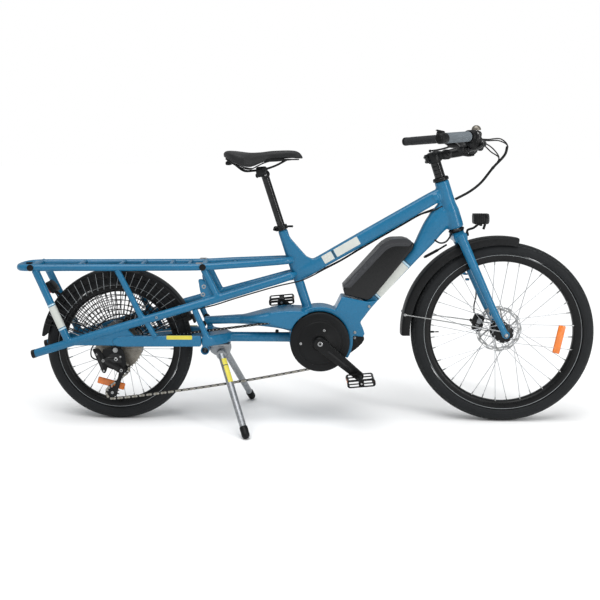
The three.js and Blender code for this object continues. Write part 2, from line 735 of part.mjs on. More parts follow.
// A stretch of fender: a channel with skirts, about the wheel's centre.
function fender(outer, half, skirt, x, z, fromDeg, toDeg) {
  const profile = [
    [outer - 3, -half + 3], [outer - 3, half - 3], [outer - skirt, half - 3], [outer - skirt, half],
    [outer - 6, half], [outer, half - 8], [outer, -half + 8], [outer - 6, -half],
    [outer - skirt, -half], [outer - skirt, -half + 3],
  ];
  const closed = profile.concat([profile[0]]);
  const whole = turned(closed, x, z, 44);
  const reach = outer * 2;
  const wedge = new THREE.Shape();
  wedge.moveTo(x, z);
  const steps = 8;
  for (let i = 0; i <= steps; i += 1) {
    const a = THREE.MathUtils.degToRad(fromDeg + ((toDeg - fromDeg) * i) / steps);
    wedge.lineTo(x + reach * Math.cos(a), z + reach * Math.sin(a));
  }
  return whole.intersect(slab(wedge, -half - 10, half + 10));
}

node("rear_fender", fender(FENDER_OUTER, 33, 26, 0, REAR_RADIUS, 20, 172), "black");

// A skirt guard: a fan-shaped grille beside the wheel.
function skirtGuard(side) {
  const fan = new THREE.Shape();
  fan.absarc(0, REAR_RADIUS, 268, THREE.MathUtils.degToRad(24), THREE.MathUtils.degToRad(158), false);
  fan.absarc(0, REAR_RADIUS, 98, THREE.MathUtils.degToRad(158), THREE.MathUtils.degToRad(24), true);
  const plate = slab(fan, side * 38, side * 41);
  const windows = [];
  [[116, 165], [173, 224]].forEach(([inner, outer]) => {
    for (let i = 0; i < 5; i += 1) {
      const from = THREE.MathUtils.degToRad(28 + i * 25);
      const to = from + THREE.MathUtils.degToRad(22);
      const cell = new THREE.Shape([
        [inner, from], [outer, from], [outer, to], [inner, to],
      ].map(([r, a]) => new THREE.Vector2(r * Math.cos(a), REAR_RADIUS + r * Math.sin(a))));
      windows.push(slab(cell, side * 30, side * 50));
    }
  });
  return cut(plate, ...windows);
}
node("right_skirt_guard", skirtGuard(RIGHT), "black");
node("left_skirt_guard", skirtGuard(LEFT), "black");

node("rear_light", cut(
  joined([block(-240, 0, 462, 26, 74, 46, -0.7), block(-222, 0, 447, 50, 14, 10, 0.7)]),
  disc(FENDER_OUTER + 1, -40, 40, 0, REAR_RADIUS, 72),
), "redLens");

function caliper(x, z, y, tilt) {
  const body = block(x, y, z, 46, 20, 30, tilt);
  return cut(body, block(x, y, z, 90, 5, 90, tilt));
}

// A caliper whose two halves are bridged outside the rotor's edge.
function bridgedCaliper(centreX, centreZ, y, angle) {
  const out = (r) => [centreX + r * Math.cos(angle), centreZ + r * Math.sin(angle)];
  const [x, z] = out(ROTOR_RADIUS - 8);
  const [bx, bz] = out(ROTOR_RADIUS + 9);
  return joined([
    caliper(x, z, y, -angle + Math.PI / 2),
    block(bx, y, bz, 40, 20, 12, -angle + Math.PI / 2),
  ]);
}
node("rear_caliper", cut(
  bridgedCaliper(0, REAR_RADIUS, REAR_ROTOR_Y, 1.05),
  chainstay(LEFT, 1), sideRail(LEFT, 1),
), "blackMetal");

// ---------------------------------------------------------------- centre stand

node("stand_bracket", cut(joined([
  block(354, 0, 262, 72, 60, 14),
  crossBar(STAND.x, STAND.z, -34, 34, 17, ROUND),
  block(360, 0, 250, 30, 60, 24),
]), crossBar(STAND.x, STAND.z, -60, 60, STAND_BORE, SMALL), lowerTube(GAP)), "silver");

function stand() {
  const parts = [crossBar(STAND.x, STAND.z, -52, 52, STAND_SHAFT, SMALL)];
  [RIGHT, LEFT].forEach((side) => {
    const top = V(STAND.x, side * 47, STAND.z);
    const foot = V(STAND_FOOT.x, side * STAND_FOOT.y, 10);
    parts.push(bar(top, foot, 13, SMALL, 10));
    parts.push(crossBar(STAND.x, STAND.z, side * (34 + GAP), side * 56, 17, ROUND));
    parts.push(block(STAND_FOOT.x, side * STAND_FOOT.y, FOOT_HEIGHT / 2, 44, 28, FOOT_HEIGHT));
  });
  return joined(parts);
}
node("centre_stand", stand(), "silver");

// ---------------------------------------------------------------- fork, stem and handlebar

const FORK_TOP = { x: 1173, z: 640 };

function forkLeg(side, grow = 0) {
  const top = V(FORK_TOP.x, side * FORK_SPREAD, FORK_TOP.z);
  const end = V(WHEELBASE - 1, side * DROPOUT_SPREAD, FRONT_RADIUS);
  return joined([
    bar(top, end, 16 + grow, ROUND, 10 + grow),
    crossBar(WHEELBASE, FRONT_RADIUS, side * (DROPOUT_SPREAD - 7), side * (DROPOUT_SPREAD + 7), 13, ROUND),
  ]);
}

function fork() {
  const crownTop = steer(-12);
  const crown = new THREE.BoxGeometry(46, 2 * FORK_SPREAD + 24, 30);
  crown.rotateY(-Math.atan2(-steerUp.x, steerUp.z));
  const middle = steer(-29);
  crown.translate(middle.x, 0, middle.z);
  const parts = [
    bar(crownTop, steer(HEAD_LENGTH + 8), 14.3, ROUND),
    bar(steer(-30), crownTop, 24, LARGE, 22),
    solid(crown),
    forkLeg(RIGHT),
    forkLeg(LEFT),
    crossBar(WHEELBASE, FRONT_RADIUS, -68, 68, AXLE_RADIUS, ROUND),
  ];
  return joined(parts);
}
node("fork", fork(), "bluePaint");

function stem() {
  const sleeve = bar(steer(HEAD_LENGTH + 0.6), steer(HEAD_LENGTH + 12), 27, LARGE);
  const stack = bar(steer(HEAD_LENGTH + 10), steer(HEAD_LENGTH + 96), 18, ROUND);
  const clampBlock = bar(steer(HEAD_LENGTH + 66), steer(HEAD_LENGTH + 104), 23, ROUND);
  const pivot = crossBar(1134, 915, -20, 20, 17, ROUND);
  return cut(joined([
    sleeve, stack, clampBlock, pivot,
    block(1112, 0, 913, 50, 36, 30, 0.1),
    bar(V(1134, 0, 915), V(1206, 0, 932), 15, ROUND, 19),
    crossBar(1212, 933, -24, 24, 22, ROUND),
  ]), bar(steer(HEAD_LENGTH - 5), steer(HEAD_LENGTH + 9), 14.3 + GAP, ROUND),
  crossBar(1212, 933, -60, 60, 15.9 + GAP, ROUND));
}
node("stem", stem(), "blackMetal");

const GRIP_IN = [1150, 255, 971];
const GRIP_OUT = [1046, 365, 964];
const BAR_POINTS = [
  [1212, 0, 933], [1212, 60, 935], [1211, 110, 948], [1203, 160, 963], [1184, 208, 970], GRIP_IN,
  [1098, 310, 967.5], GRIP_OUT,
];

function mirrored(points, side) {
  return points.map(([x, y, z]) => V(x, side * y, z));
}

function handlebar() {
  const right = mirrored(BAR_POINTS, RIGHT).reverse();
  const left = mirrored(BAR_POINTS, LEFT).slice(1);
  return joined([
    rod([...right, ...left], 11.1, SMALL, 28),
    crossBar(1212, 933, -32, 32, 15.9, ROUND),
  ]);
}
node("handlebar", handlebar(), "blackMetal");

function alongGrip(side, t) {
  return V(...GRIP_IN).lerp(V(...GRIP_OUT), t).multiply(V(1, side, 1));
}

function grip(side) {
  return cut(
    bar(alongGrip(side, 0.0), alongGrip(side, 1.04), 16.5, 20, 15.5),
    bar(alongGrip(side, -0.2), alongGrip(side, 1.012), 12.4, SMALL),
  );
}
node("right_grip", grip(RIGHT), "gripGrey");
node("left_grip", grip(LEFT), "gripGrey");

// The clamp, lever perch and switchgear beside each grip.
const LEVER_PIVOT = [1198, 236, 946];
const LEVER_TIP = [1136, 336, 927];

function control(side) {
  const parts = [
    bar(alongGrip(side, -0.24), alongGrip(side, -0.03), 20, ROUND),
    bar(V(1172, side * 232, 969), V(1194, side * 224, 950), 12, SMALL),
    bar(V(1190, side * 222, 950), V(1214, side * 188, 948), 13, SMALL),
  ];
  if (side === RIGHT) parts.push(bar(V(1160, -238, 962), V(1176, -222, 936), 17, SMALL));
  else parts.push(bar(V(1152, 238, 976), V(1160, 220, 1003), 12, SMALL));
  const hole = bar(alongGrip(side, -0.6), alongGrip(side, 0.2), 12.4, SMALL);
  const barCut = rod(mirrored(BAR_POINTS, side).slice(1), 12, 8, 20);
  const leverCut = bar(
    V(LEVER_PIVOT[0], side * LEVER_PIVOT[1], LEVER_PIVOT[2] - 9),
    V(LEVER_PIVOT[0], side * LEVER_PIVOT[1], LEVER_PIVOT[2] + 9), 17, 16,
  );
  return cut(joined(parts), hole, barCut, leverCut);
}
node("right_control", control(RIGHT), "black");
node("left_control", control(LEFT), "black");

function lever(side) {
  const at = ([x, y, z]) => V(x, side * y, z);
  const hub = LEVER_PIVOT;
  return joined([
    bar(at([hub[0], hub[1], hub[2] - 6]), at([hub[0], hub[1], hub[2] + 6]), 12, ROUND),
    rod([at(hub), at([1190, 262, 940]), at([1166, 300, 932]), at(LEVER_TIP)], 5, 6, 6),
    solid(new THREE.SphereGeometry(6, 6, 4).translate(LEVER_TIP[0], side * LEVER_TIP[1], LEVER_TIP[2])),
  ]);
}
node("right_brake_lever", lever(RIGHT), "blackMetal");
node("left_brake_lever", lever(LEFT), "blackMetal");

node("shift_lever", rod([V(1178, -216, 914), V(1160, -224, 912), V(1138, -232, 916)], 4, 8, 8), "black");

function bell() {
  const base = new THREE.CylinderGeometry(15, 15, 4, 16);
  const capped = joined([
    solid(new THREE.SphereGeometry(15, 12, 6).rotateX(Math.PI / 2).translate(1200, -150, 994)),
    solid(base.rotateX(Math.PI / 2).translate(1200, -150, 992)),
    bar(V(1204, -150, 966), V(1200, -150, 990), 8, SMALL),
  ]);
  return cut(capped, rod(mirrored(BAR_POINTS, RIGHT).slice(1, 6), 12, 8, 16));
}
node("bell", bell(), "silver");

// ---------------------------------------------------------------- front guards, light and brake

node("front_fender", cut(
  fender(332, 33, 28, 1310, 304, 79, 180),
  forkLeg(RIGHT, GAP), forkLeg(LEFT, GAP),
), "black");

node("front_caliper", cut(
  bridgedCaliper(WHEELBASE, FRONT_RADIUS, FRONT_ROTOR_Y, 2.75),
  forkLeg(LEFT, GAP),
), "blackMetal");

node("headlight", joined([
  block(1250, 0, 694, 54, 46, 36),
  rod([V(1204, 0, 640), V(1206, 0, 656), V(1226, 0, 664), V(1246, 0, 682)], 4, 8, 12),
]), "black");

node("steering_damper", rod([V(1058, 0, 563), V(1096, 0, 583), V(1136, 0, 607)], 5, SMALL, 8), "black");

// ---------------------------------------------------------------- cables

const LOOM = [[1216, -40, 968], [1262, -30, 962], [1312, -14, 962], [1338, -6, 946], [1330, -2, 914],
  [1290, 0, 868], [1250, 0, 818], [1214, 0, 789], [1164, 0, 762]];
node("cable_loom", rod(LOOM.map((p) => V(...p)), 4.5, 6, 20), "rubber");

const FRONT_HOSE = [[1192, 66, 620], [1205, 69, 590], [1232, 70, 530], [1246, 70, 480], [1250, 66, 420],
  [1240, 60, 385]];
node("front_brake_hose", rod(FRONT_HOSE.map((p) => V(...p)), 2.5, 6, 16), "rubber");

// The gear cable (right) and the rear brake hose (left). Both run under the top tube, then under
// and inside the side rails, and clips under the top tube hold them together.
const CABLE_RADIUS = 2.3;
const CABLE_APART = 8;
const FRAME_CABLE = [
  [1140, 27, 748], [1112, 26, 734], [1082, 22, 722], [1048, CABLE_APART, 712], [980, CABLE_APART, 673.6],
  [912, CABLE_APART, 635], [843, CABLE_APART, 595], [775, CABLE_APART, 554], [712, 12, 521],
  [672, 24, 493], [628, 32, 481], [560, 36, 472], [480, 48, 451], [400, 55, 428], [340, 50, 408],
  [250, 51, 388], [106, 56, 350], [66, 55, 338],
];
const CABLE_TO_DERAILLEUR = [[0, 57, 322], [-50, 57, 296], [-84, 66, 262], [-84, 74, 234], [-66, 76, 224],
  [-55, 76, 222]];
const CLIPS = [[980, 677.5], [843, 598.7]];   // on the tube's lower edge

function frameCables() {
  const right = mirrored([...FRAME_CABLE, ...CABLE_TO_DERAILLEUR], RIGHT);
  const left = mirrored(FRAME_CABLE, LEFT);
  return joined([
    rod(right, CABLE_RADIUS, 6, 44),
    rod(left, CABLE_RADIUS, 6, 34),
    ...CLIPS.map(([x, z]) => block(x, 0, z - 4.1, 9, 2 * CABLE_APART + 8, 4, -0.52)),
  ]);
}
node("frame_cables", frameCables(), "rubber");

// ---------------------------------------------------------------- set down on the ground

const around = new THREE.Box3().setFromObject(bicycle);
const middle = around.getCenter(new THREE.Vector3());
bicycle.children.forEach((mesh) => mesh.position.sub(V(middle.x, middle.y, around.min.z)));

export default bicycle;
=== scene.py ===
"""A longtail cargo bicycle: the visible pieces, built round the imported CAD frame.

Lengths below are in millimetres, with x = 0 at the rear axle, y = 0 in the wheel plane and z = 0 on
the ground. at() turns them into the frame's metres.
"""
import math

import bmesh
import bpy
from mathutils import Matrix, Vector


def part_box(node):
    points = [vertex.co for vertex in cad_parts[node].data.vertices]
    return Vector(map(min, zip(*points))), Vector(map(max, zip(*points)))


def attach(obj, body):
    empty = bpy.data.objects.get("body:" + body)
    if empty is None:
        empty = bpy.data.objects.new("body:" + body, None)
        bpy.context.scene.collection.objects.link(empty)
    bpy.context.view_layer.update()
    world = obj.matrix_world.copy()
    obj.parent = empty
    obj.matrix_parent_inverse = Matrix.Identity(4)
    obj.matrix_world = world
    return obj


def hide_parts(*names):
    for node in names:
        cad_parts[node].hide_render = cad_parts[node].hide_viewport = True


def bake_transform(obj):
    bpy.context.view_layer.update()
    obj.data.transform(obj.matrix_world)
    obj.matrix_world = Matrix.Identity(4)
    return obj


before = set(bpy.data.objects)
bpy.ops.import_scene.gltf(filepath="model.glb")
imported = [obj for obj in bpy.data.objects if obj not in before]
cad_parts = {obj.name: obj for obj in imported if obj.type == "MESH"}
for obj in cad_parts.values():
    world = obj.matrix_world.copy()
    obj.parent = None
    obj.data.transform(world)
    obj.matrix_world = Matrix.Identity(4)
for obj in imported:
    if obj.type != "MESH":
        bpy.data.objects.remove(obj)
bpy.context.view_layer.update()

AXLE_LOW, AXLE_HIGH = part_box("rear_axle")
X_SHIFT = (AXLE_LOW[0] + AXLE_HIGH[0]) / 2
RIGHT, LEFT = -1, 1
SIDES = (RIGHT, LEFT)
NAMED_SIDES = ((RIGHT, "right"), (LEFT, "left"))
X_AXIS = Vector((1, 0, 0))
Y_AXIS = Vector((0, 1, 0))
Z_AXIS = Vector((0, 0, 1))


def at(x, y, z):
    return Vector((x / 1000 + X_SHIFT, y / 1000, z / 1000))


# ------------------------------------------------------------------ materials

COAT_ROUGHNESS = 0.12
RELIEF_DEPTH = 0.0006            # metres
EDGE_FROM, EDGE_TO = 0.53, 0.62  # how sharp an edge is where wear starts and where it is full


def linear(r, g, b):
    """8-bit display colour to linear light."""
    return tuple((c / 255 / 12.92) if c < 10 else ((c / 255 + 0.055) / 1.055) ** 2.4 for c in (r, g, b))


def scaled(colour, k):
    return (*[min(1.0, c * k) for c in colour], 1.0)


def finish_of(name, rgb, rough, metal=0.0, vary=0.1, patch=14.0, grain=900.0, relief=0.12, spread=0.07,
        wear=None, wear_amount=0.6, coat=0.0, sheen=0.0, pattern="NOISE", stretch=(1, 1, 1), gloss=0.5):
    """A surface with colour patches, uneven roughness, fine relief and wear on its edges."""
    base = linear(*rgb)
    material = bpy.data.materials.new(name)
    material.use_nodes = True
    nodes, links = material.node_tree.nodes, material.node_tree.links
    shader = nodes["Principled BSDF"]
    shader.inputs["Metallic"].default_value = metal
    shader.inputs["Coat Weight"].default_value = coat
    shader.inputs["Specular IOR Level"].default_value = gloss
    shader.inputs["Coat Roughness"].default_value = COAT_ROUGHNESS
    shader.inputs["Sheen Weight"].default_value = sheen

    where = nodes.new("ShaderNodeTexCoord")
    mapping = nodes.new("ShaderNodeMapping")
    mapping.inputs["Scale"].default_value = stretch
    links.new(where.outputs["Object"], mapping.inputs["Vector"])

    def noise(scale, detail):
        made = nodes.new("ShaderNodeTexNoise")
        made.inputs["Scale"].default_value = scale
        made.inputs["Detail"].default_value = detail
        links.new(mapping.outputs["Vector"], made.inputs["Vector"])
        return made.outputs["Fac"]

    def ranged(value, low, high, to_low, to_high):
        made = nodes.new("ShaderNodeMapRange")
        for socket, number in (("From Min", low), ("From Max", high), ("To Min", to_low), ("To Max", to_high)):
            made.inputs[socket].default_value = number
        links.new(value, made.inputs["Value"])
        return made.outputs["Result"]

    def mixed(factor, a, b):
        made = nodes.new("ShaderNodeMix")
        made.data_type = "RGBA"
        links.new(factor, made.inputs["Factor"])
        for socket, colour in ((6, a), (7, b)):
            if isinstance(colour, tuple):
                made.inputs[socket].default_value = colour
            else:
                links.new(colour, made.inputs[socket])
        return made.outputs[2]

    patches = ranged(noise(patch, 4.0), 0.32, 0.68, 0.0, 1.0)
    colour = mixed(patches, scaled(base, 1 - vary), scaled(base, 1 + vary))
    fine = noise(patch * 9, 3.0)
    if wear:
        edges = ranged(nodes.new("ShaderNodeNewGeometry").outputs["Pointiness"], EDGE_FROM, EDGE_TO, 0.0,
            wear_amount)
        rubbed = nodes.new("ShaderNodeMath")
        rubbed.operation = "MULTIPLY"
        links.new(edges, rubbed.inputs[0])
        links.new(ranged(fine, 0.42, 0.6, 0.0, 1.0), rubbed.inputs[1])
        colour = mixed(rubbed.outputs[0], colour, (*linear(*wear), 1.0))
    links.new(colour, shader.inputs["Base Color"])
    roughness = ranged(fine, 0.3, 0.7, max(0.03, rough - spread), min(1.0, rough + spread))
    links.new(roughness, shader.inputs["Roughness"])

    if pattern == "CELLS":
        cells = nodes.new("ShaderNodeTexVoronoi")
        cells.inputs["Scale"].default_value = grain
        links.new(mapping.outputs["Vector"], cells.inputs["Vector"])
        height = cells.outputs["Distance"]
    else:
        height = noise(grain, 2.0)
    bump = nodes.new("ShaderNodeBump")
    bump.inputs["Strength"].default_value = relief
    bump.inputs["Distance"].default_value = RELIEF_DEPTH
    links.new(height, bump.inputs["Height"])
    links.new(bump.outputs["Normal"], shader.inputs["Normal"])
    return material


BLUE = finish_of("blue_paint", (26, 102, 140), 0.28, vary=0.07, patch=5, grain=1400, relief=0.04,
    wear=(70, 140, 172), wear_amount=0.1, coat=0.15, gloss=0.3)
BLACK_PAINT = finish_of("black_paint", (9, 10, 11), 0.32, vary=0.25, grain=1500, relief=0.06,
    wear=(44, 46, 48), gloss=0.22)
BLACK_PLASTIC = finish_of("black_plastic", (11, 12, 13), 0.48, vary=0.2, grain=1600, relief=0.3,
    wear=(40, 42, 44), wear_amount=0.3, gloss=0.2)
GLOSS_PLASTIC = finish_of("gloss_plastic", (10, 11, 12), 0.2, vary=0.2, grain=900, relief=0.04,
    wear=(64, 66, 70), wear_amount=0.3, gloss=0.34)
MOTOR_BLACK = finish_of("motor_black", (12, 13, 14), 0.5, vary=0.2, grain=1100, relief=0.35,
    wear=(56, 58, 60), wear_amount=0.4, gloss=0.2)
SHELL_GREY = finish_of("battery_grey", (46, 47, 50), 0.34, vary=0.08, grain=1500, relief=0.1,
    wear=(84, 86, 90), wear_amount=0.4, gloss=0.35)
TYRE = finish_of("tyre_rubber", (22, 24, 26), 0.7, vary=0.14, patch=22, grain=1300, relief=0.4,
    wear=(58, 60, 60), wear_amount=0.5, gloss=0.25)
# Pale grey. On the rims it is a painted highlight along the outer edge; on the skirt guards it makes pale stripes.
PALE_HIGHLIGHT_AND_STRIPE = finish_of("painted_highlight_and_pale_stripe", (142, 146, 148), 0.4, vary=0.08, patch=60, relief=0.2)
RUBBER = finish_of("cable_rubber", (12, 13, 14), 0.45, vary=0.2, grain=1500, relief=0.1, gloss=0.25)
GRIP = finish_of("grip_rubber", (100, 107, 112), 0.72, vary=0.1, grain=700, relief=0.5, pattern="CELLS", gloss=0.3)
DARK_GRIP = finish_of("dark_grip_rubber", (46, 47, 49), 0.75, vary=0.1, grain=700, relief=0.5, pattern="CELLS",
    gloss=0.3)
LEATHER = finish_of("saddle_cover", (22, 23, 24), 0.5, vary=0.18, patch=40, grain=850, relief=0.45,
    wear=(74, 75, 76), wear_amount=0.35, sheen=0.1, pattern="CELLS", gloss=0.3)
SILVER = finish_of("silver_alloy", (140, 143, 146), 0.4, metal=0.8, vary=0.08, grain=1500, relief=0.15,
    wear=(215, 216, 218), wear_amount=0.4)
STEEL = finish_of("brushed_steel", (150, 151, 151), 0.33, metal=0.95, vary=0.12, grain=500, relief=0.2,
    stretch=(1, 8, 1), wear=(205, 205, 205))
COG_STEEL = finish_of("cog_steel", (122, 117, 108), 0.42, metal=0.8, vary=0.28, patch=60, grain=900,
    relief=0.25, wear=(180, 176, 168))
CHAIN_STEEL = finish_of("chain_steel", (120, 116, 106), 0.45, metal=0.85, vary=0.25, patch=80, grain=900,
    relief=0.2, wear=(180, 178, 170))
SPOKE_STEEL = finish_of("spoke_steel", (176, 178, 181), 0.35, metal=0.6, vary=0.08, patch=30, relief=0.05)
CREAM = finish_of("cream_label", (198, 201, 195), 0.45, vary=0.04, patch=24, grain=1200, relief=0.08)
PALE_BLUE = finish_of("pale_label_edge", (176, 205, 219), 0.45, vary=0.05, relief=0.06)
DARK_LINE = finish_of("dark_label_line", (30, 58, 66), 0.5, vary=0.1, relief=0.06)
YELLOW = finish_of("yellow_label", (208, 196, 70), 0.5, vary=0.06, patch=30, relief=0.08)
ORANGE = finish_of("orange_reflector", (222, 116, 26), 0.22, vary=0.12, patch=60, grain=420, relief=0.9,
    pattern="CELLS", coat=0.5)
RED = finish_of("red_lens", (150, 18, 16), 0.18, vary=0.12, patch=60, grain=420, relief=0.8,
    pattern="CELLS", coat=0.6)
LENS = finish_of("clear_lens", (214, 218, 222), 0.12, metal=0.5, vary=0.08, patch=60, grain=320,
    relief=0.7, pattern="CELLS", coat=0.6)


# ------------------------------------------------------------------ shapes: each is (vertices, faces)

def catmull(points, per=6):
    """Points along a smooth curve through the given ones, which may have any number of coordinates."""
    p = [Vector(q) for q in points]
    if len(p) < 3:
        return p
    p = [p[0] * 2 - p[1], *p, p[-1] * 2 - p[-2]]
    out = []
    for a, b, c, d in zip(p, p[1:], p[2:], p[3:]):
        t1 = (b - a).length ** 0.5
        t2 = t1 + (c - b).length ** 0.5
        t3 = t2 + (d - c).length ** 0.5
        for k in range(per):
            t = t1 + (t2 - t1) * k / per
            ab = (a * (t1 - t) + b * t) / t1
            bc = (b * (t2 - t) + c * (t - t1)) / (t2 - t1)
            cd = (c * (t3 - t) + d * (t - t2)) / (t3 - t2)
            abc = (ab * (t2 - t) + bc * t) / t2
            bcd = (bc * (t3 - t) + cd * (t - t1)) / (t3 - t1)
            out.append((abc * (t2 - t) + bcd * (t - t1)) / (t2 - t1))
    out.append(p[-2])
    return out


def circle(r, n, squash=1.0):
    return [(r * math.cos(2 * math.pi * i / n), r * squash * math.sin(2 * math.pi * i / n)) for i in range(n)]


def rounded(width, height, r, n=4):
    """A rectangle's outline with round corners."""
    out = []
    for cx, cz, start in ((1, 1, 0), (-1, 1, 90), (-1, -1, 180), (1, -1, 270)):
        for i in range(n + 1):
            a = math.radians(start + 90 * i / n)
            out.append((cx * (width / 2 - r) + r * math.cos(a), cz * (height / 2 - r) + r * math.sin(a)))
    return out


def skin(rows, around, closed=False):
    """The faces of a tube made of rows of points. An open one has flat ends."""
    faces = []
    for i in range(rows if closed else rows - 1):
        a, b = i * around, (i + 1) % rows * around
        faces += [(a + k, a + (k + 1) % around, b + (k + 1) % around, b + k) for k in range(around)]
    if not closed:
        faces += [tuple(range(around))[::-1], tuple((rows - 1) * around + k for k in range(around))]
    return faces


def sweep(path, section, up=None, closed=False, size=None):
    """The section carried along the path. size(t) scales it, and up keeps it level."""
    path = [Vector(p) for p in path]
    n = len(path)
    verts, side = [], None
    for i, p in enumerate(path):
        ahead = path[(i + 1) % n] if closed or i < n - 1 else p
        behind = path[i - 1] if closed or i > 0 else p
        tangent = (ahead - behind).normalized()
        if up is not None:
            side = tangent.cross(up).normalized()
        elif side is None:
            side = tangent.orthogonal().normalized()
        else:
            side = (side - tangent * side.dot(tangent)).normalized()
        top = side.cross(tangent)
        k = size(i / (n - 1)) if size else 1.0
        verts += [p + side * (u * k) + top * (v * k) for u, v in section]
    return verts, skin(n, len(section), closed)


def tube(points, r, n=20, per=6, size=None, squash=1.0, up=None):
    return sweep(catmull(points, per), circle(r, n, squash), up=up, size=size)


def lathe(profile, centre, axis=Y_AXIS, n=64, closed=False):
    """A profile of (radius, height) turned about the axis. A closed profile makes a ring."""
    axis = Vector(axis).normalized()
    side = X_AXIS if abs(axis.x) < 0.9 else Vector((0, 0, 1))
    side = (side - axis * side.dot(axis)).normalized()
    other = axis.cross(side)
    centre = Vector(centre)
    verts, rows = [], []
    for r, h in profile:
        count = 1 if r < 1e-6 else n
        rows.append([len(verts) + i for i in range(count)])
        for i in range(count):
            a = 2 * math.pi * i / n
            verts.append(centre + axis * h + side * (r * math.cos(a)) + other * (r * math.sin(a)))
    faces = []
    for a, b in zip(rows, rows[1:] + rows[:1] if closed else rows[1:]):
        for i in range(n):
            j = (i + 1) % n
            quad = [a[i % len(a)], a[j % len(a)], b[j % len(b)], b[i % len(b)]]
            face = list(dict.fromkeys(quad))
            if len(face) > 2:
                faces.append(tuple(face))
    if not closed:
        for row, flip in ((rows[0], True), (rows[-1], False)):
            if len(row) > 1:
                faces.append(tuple(row[::-1] if flip else row))
    return verts, faces


def disc(centre, r, half, axis=Y_AXIS, edge=1.0, n=32):
    """A flat round with softened edges."""
    edge = min(edge, half * 0.9, r * 0.5)
    profile = [(0, -half), (r - edge, -half), (r - edge * 0.3, -half + edge * 0.3), (r, -half + edge),
        (r, half - edge), (r - edge * 0.3, half - edge * 0.3), (r - edge, half), (0, half)]
    return lathe(profile, centre, axis, n)


def torus(centre, r, thick, axis=Y_AXIS, n=48, m=8):
    return lathe([(r + out, rise) for out, rise in circle(thick, m)], centre, axis, n, closed=True)


def taken(bm):
    """The mesh's vertices and faces, and the end of the mesh."""
    verts = [v.co.copy() for v in bm.verts]
    index = {v: i for i, v in enumerate(bm.verts)}
    faces = [tuple(index[v] for v in f.verts) for f in bm.faces]
    bm.free()
    return verts, faces


def filleted(corners, r, n=4):
    """The outline with its corners rounded by about r, or by each corner's own third number."""
    out = []
    count = len(corners)
    for i, corner in enumerate(corners):
        p = Vector(corner[:2])
        a, b = Vector(corners[i - 1][:2]) - p, Vector(corners[(i + 1) % count][:2]) - p
        reach = corner[2] if len(corner) > 2 else r
        first = p + a.normalized() * min(reach, a.length * 0.45)
        last = p + b.normalized() * min(reach, b.length * 0.45)
        for k in range(n + 1):
            t = k / n
            out.append(tuple(first * (1 - t) ** 2 + p * (2 * t * (1 - t)) + last * t ** 2))
    return out


def slab(outline, y0, y1, bevel=2.0, steps=3):
    """An outline in the XZ plane made solid between y0 and y1, with its edges rounded."""
    bm = bmesh.new()
    low, high = min(y0, y1), max(y0, y1)
    ring = [bm.verts.new((x, low, z)) for x, z in outline]
    face = bm.faces.new(ring)
    grown = bmesh.ops.extrude_face_region(bm, geom=[face])
    for v in grown["geom"]:
        if isinstance(v, bmesh.types.BMVert):
            v.co.y = high
    if bevel:
        caps = [e for e in bm.edges if abs(e.verts[0].co.y - e.verts[1].co.y) < 1e-6]
        bmesh.ops.bevel(bm, geom=caps, offset=bevel, segments=steps, profile=0.5, affect="EDGES",
            clamp_overlap=True)
    return taken(bm)


def block(centre, size, bevel=2.0, turn=None, steps=2):
    bm = bmesh.new()
    bmesh.ops.create_cube(bm, size=1.0)
    bmesh.ops.scale(bm, vec=size, verts=bm.verts)
    bmesh.ops.bevel(bm, geom=list(bm.edges), offset=min(bevel, min(size) * 0.45), segments=steps,
        profile=0.5, affect="EDGES")
    matrix = Matrix.Translation(Vector(centre)) @ (turn.to_4x4() if turn else Matrix())
    bmesh.ops.transform(bm, matrix=matrix, verts=bm.verts)
    return taken(bm)


def about_y(degrees):
    """Turns +X towards +Z."""
    return Matrix.Rotation(-math.radians(degrees), 3, "Y")


def toward(direction, up):
    """The rotation that carries +X to the direction and keeps +Z near up."""
    x = Vector(direction).normalized()
    y = Vector(up).cross(x).normalized()
    return Matrix((x, y, x.cross(y))).transposed()


def moved(shape, offset=(0, 0, 0), turn=None):
    turn = turn or Matrix.Identity(3)
    return [turn @ Vector(v) + Vector(offset) for v in shape[0]], shape[1]


def mirrored(shape):
    return [Vector((v[0], -v[1], v[2])) for v in shape[0]], [f[::-1] for f in shape[1]]


def hex_bolt(centre, axis, r=5.0, height=4.0):
    """A round bolt head with a hexagon socket sunk in it. axis points out of the head."""
    profile = [(r, 0), (r, height * 0.7), (r * 0.85, height), (r * 0.5, height), (r * 0.46, height * 0.35),
        (0, height * 0.35)]
    return lathe([(0, 0), *profile], centre, axis, 18)


def gear(centre, teeth, root, tip, y0, y1, bore=0.0):
    """A toothed plate about Y."""
    cx, cz = centre
    outer = []
    for i in range(teeth):
        for part, r in ((0.0, root), (0.3, root), (0.42, tip), (0.58, tip), (0.7, root)):
            a = 2 * math.pi * (i + part) / teeth
            outer.append((cx + r * math.cos(a), cz + r * math.sin(a)))
    n = len(outer)
    inner = [(cx + x, cz + z) for x, z in circle(bore, n)]
    verts, faces = [], []
    for y in (y0, y1):
        verts += [Vector((x, y, z)) for x, z in outer] + [Vector((x, y, z)) for x, z in inner]
    for i in range(n):
        j = (i + 1) % n
        faces += [(i, j, n + j, n + i), (2 * n + i, 3 * n + i, 3 * n + j, 2 * n + j),
            (i, 2 * n + i, 2 * n + j, j), (n + i, n + j, 3 * n + j, 3 * n + i)]
    return verts, faces


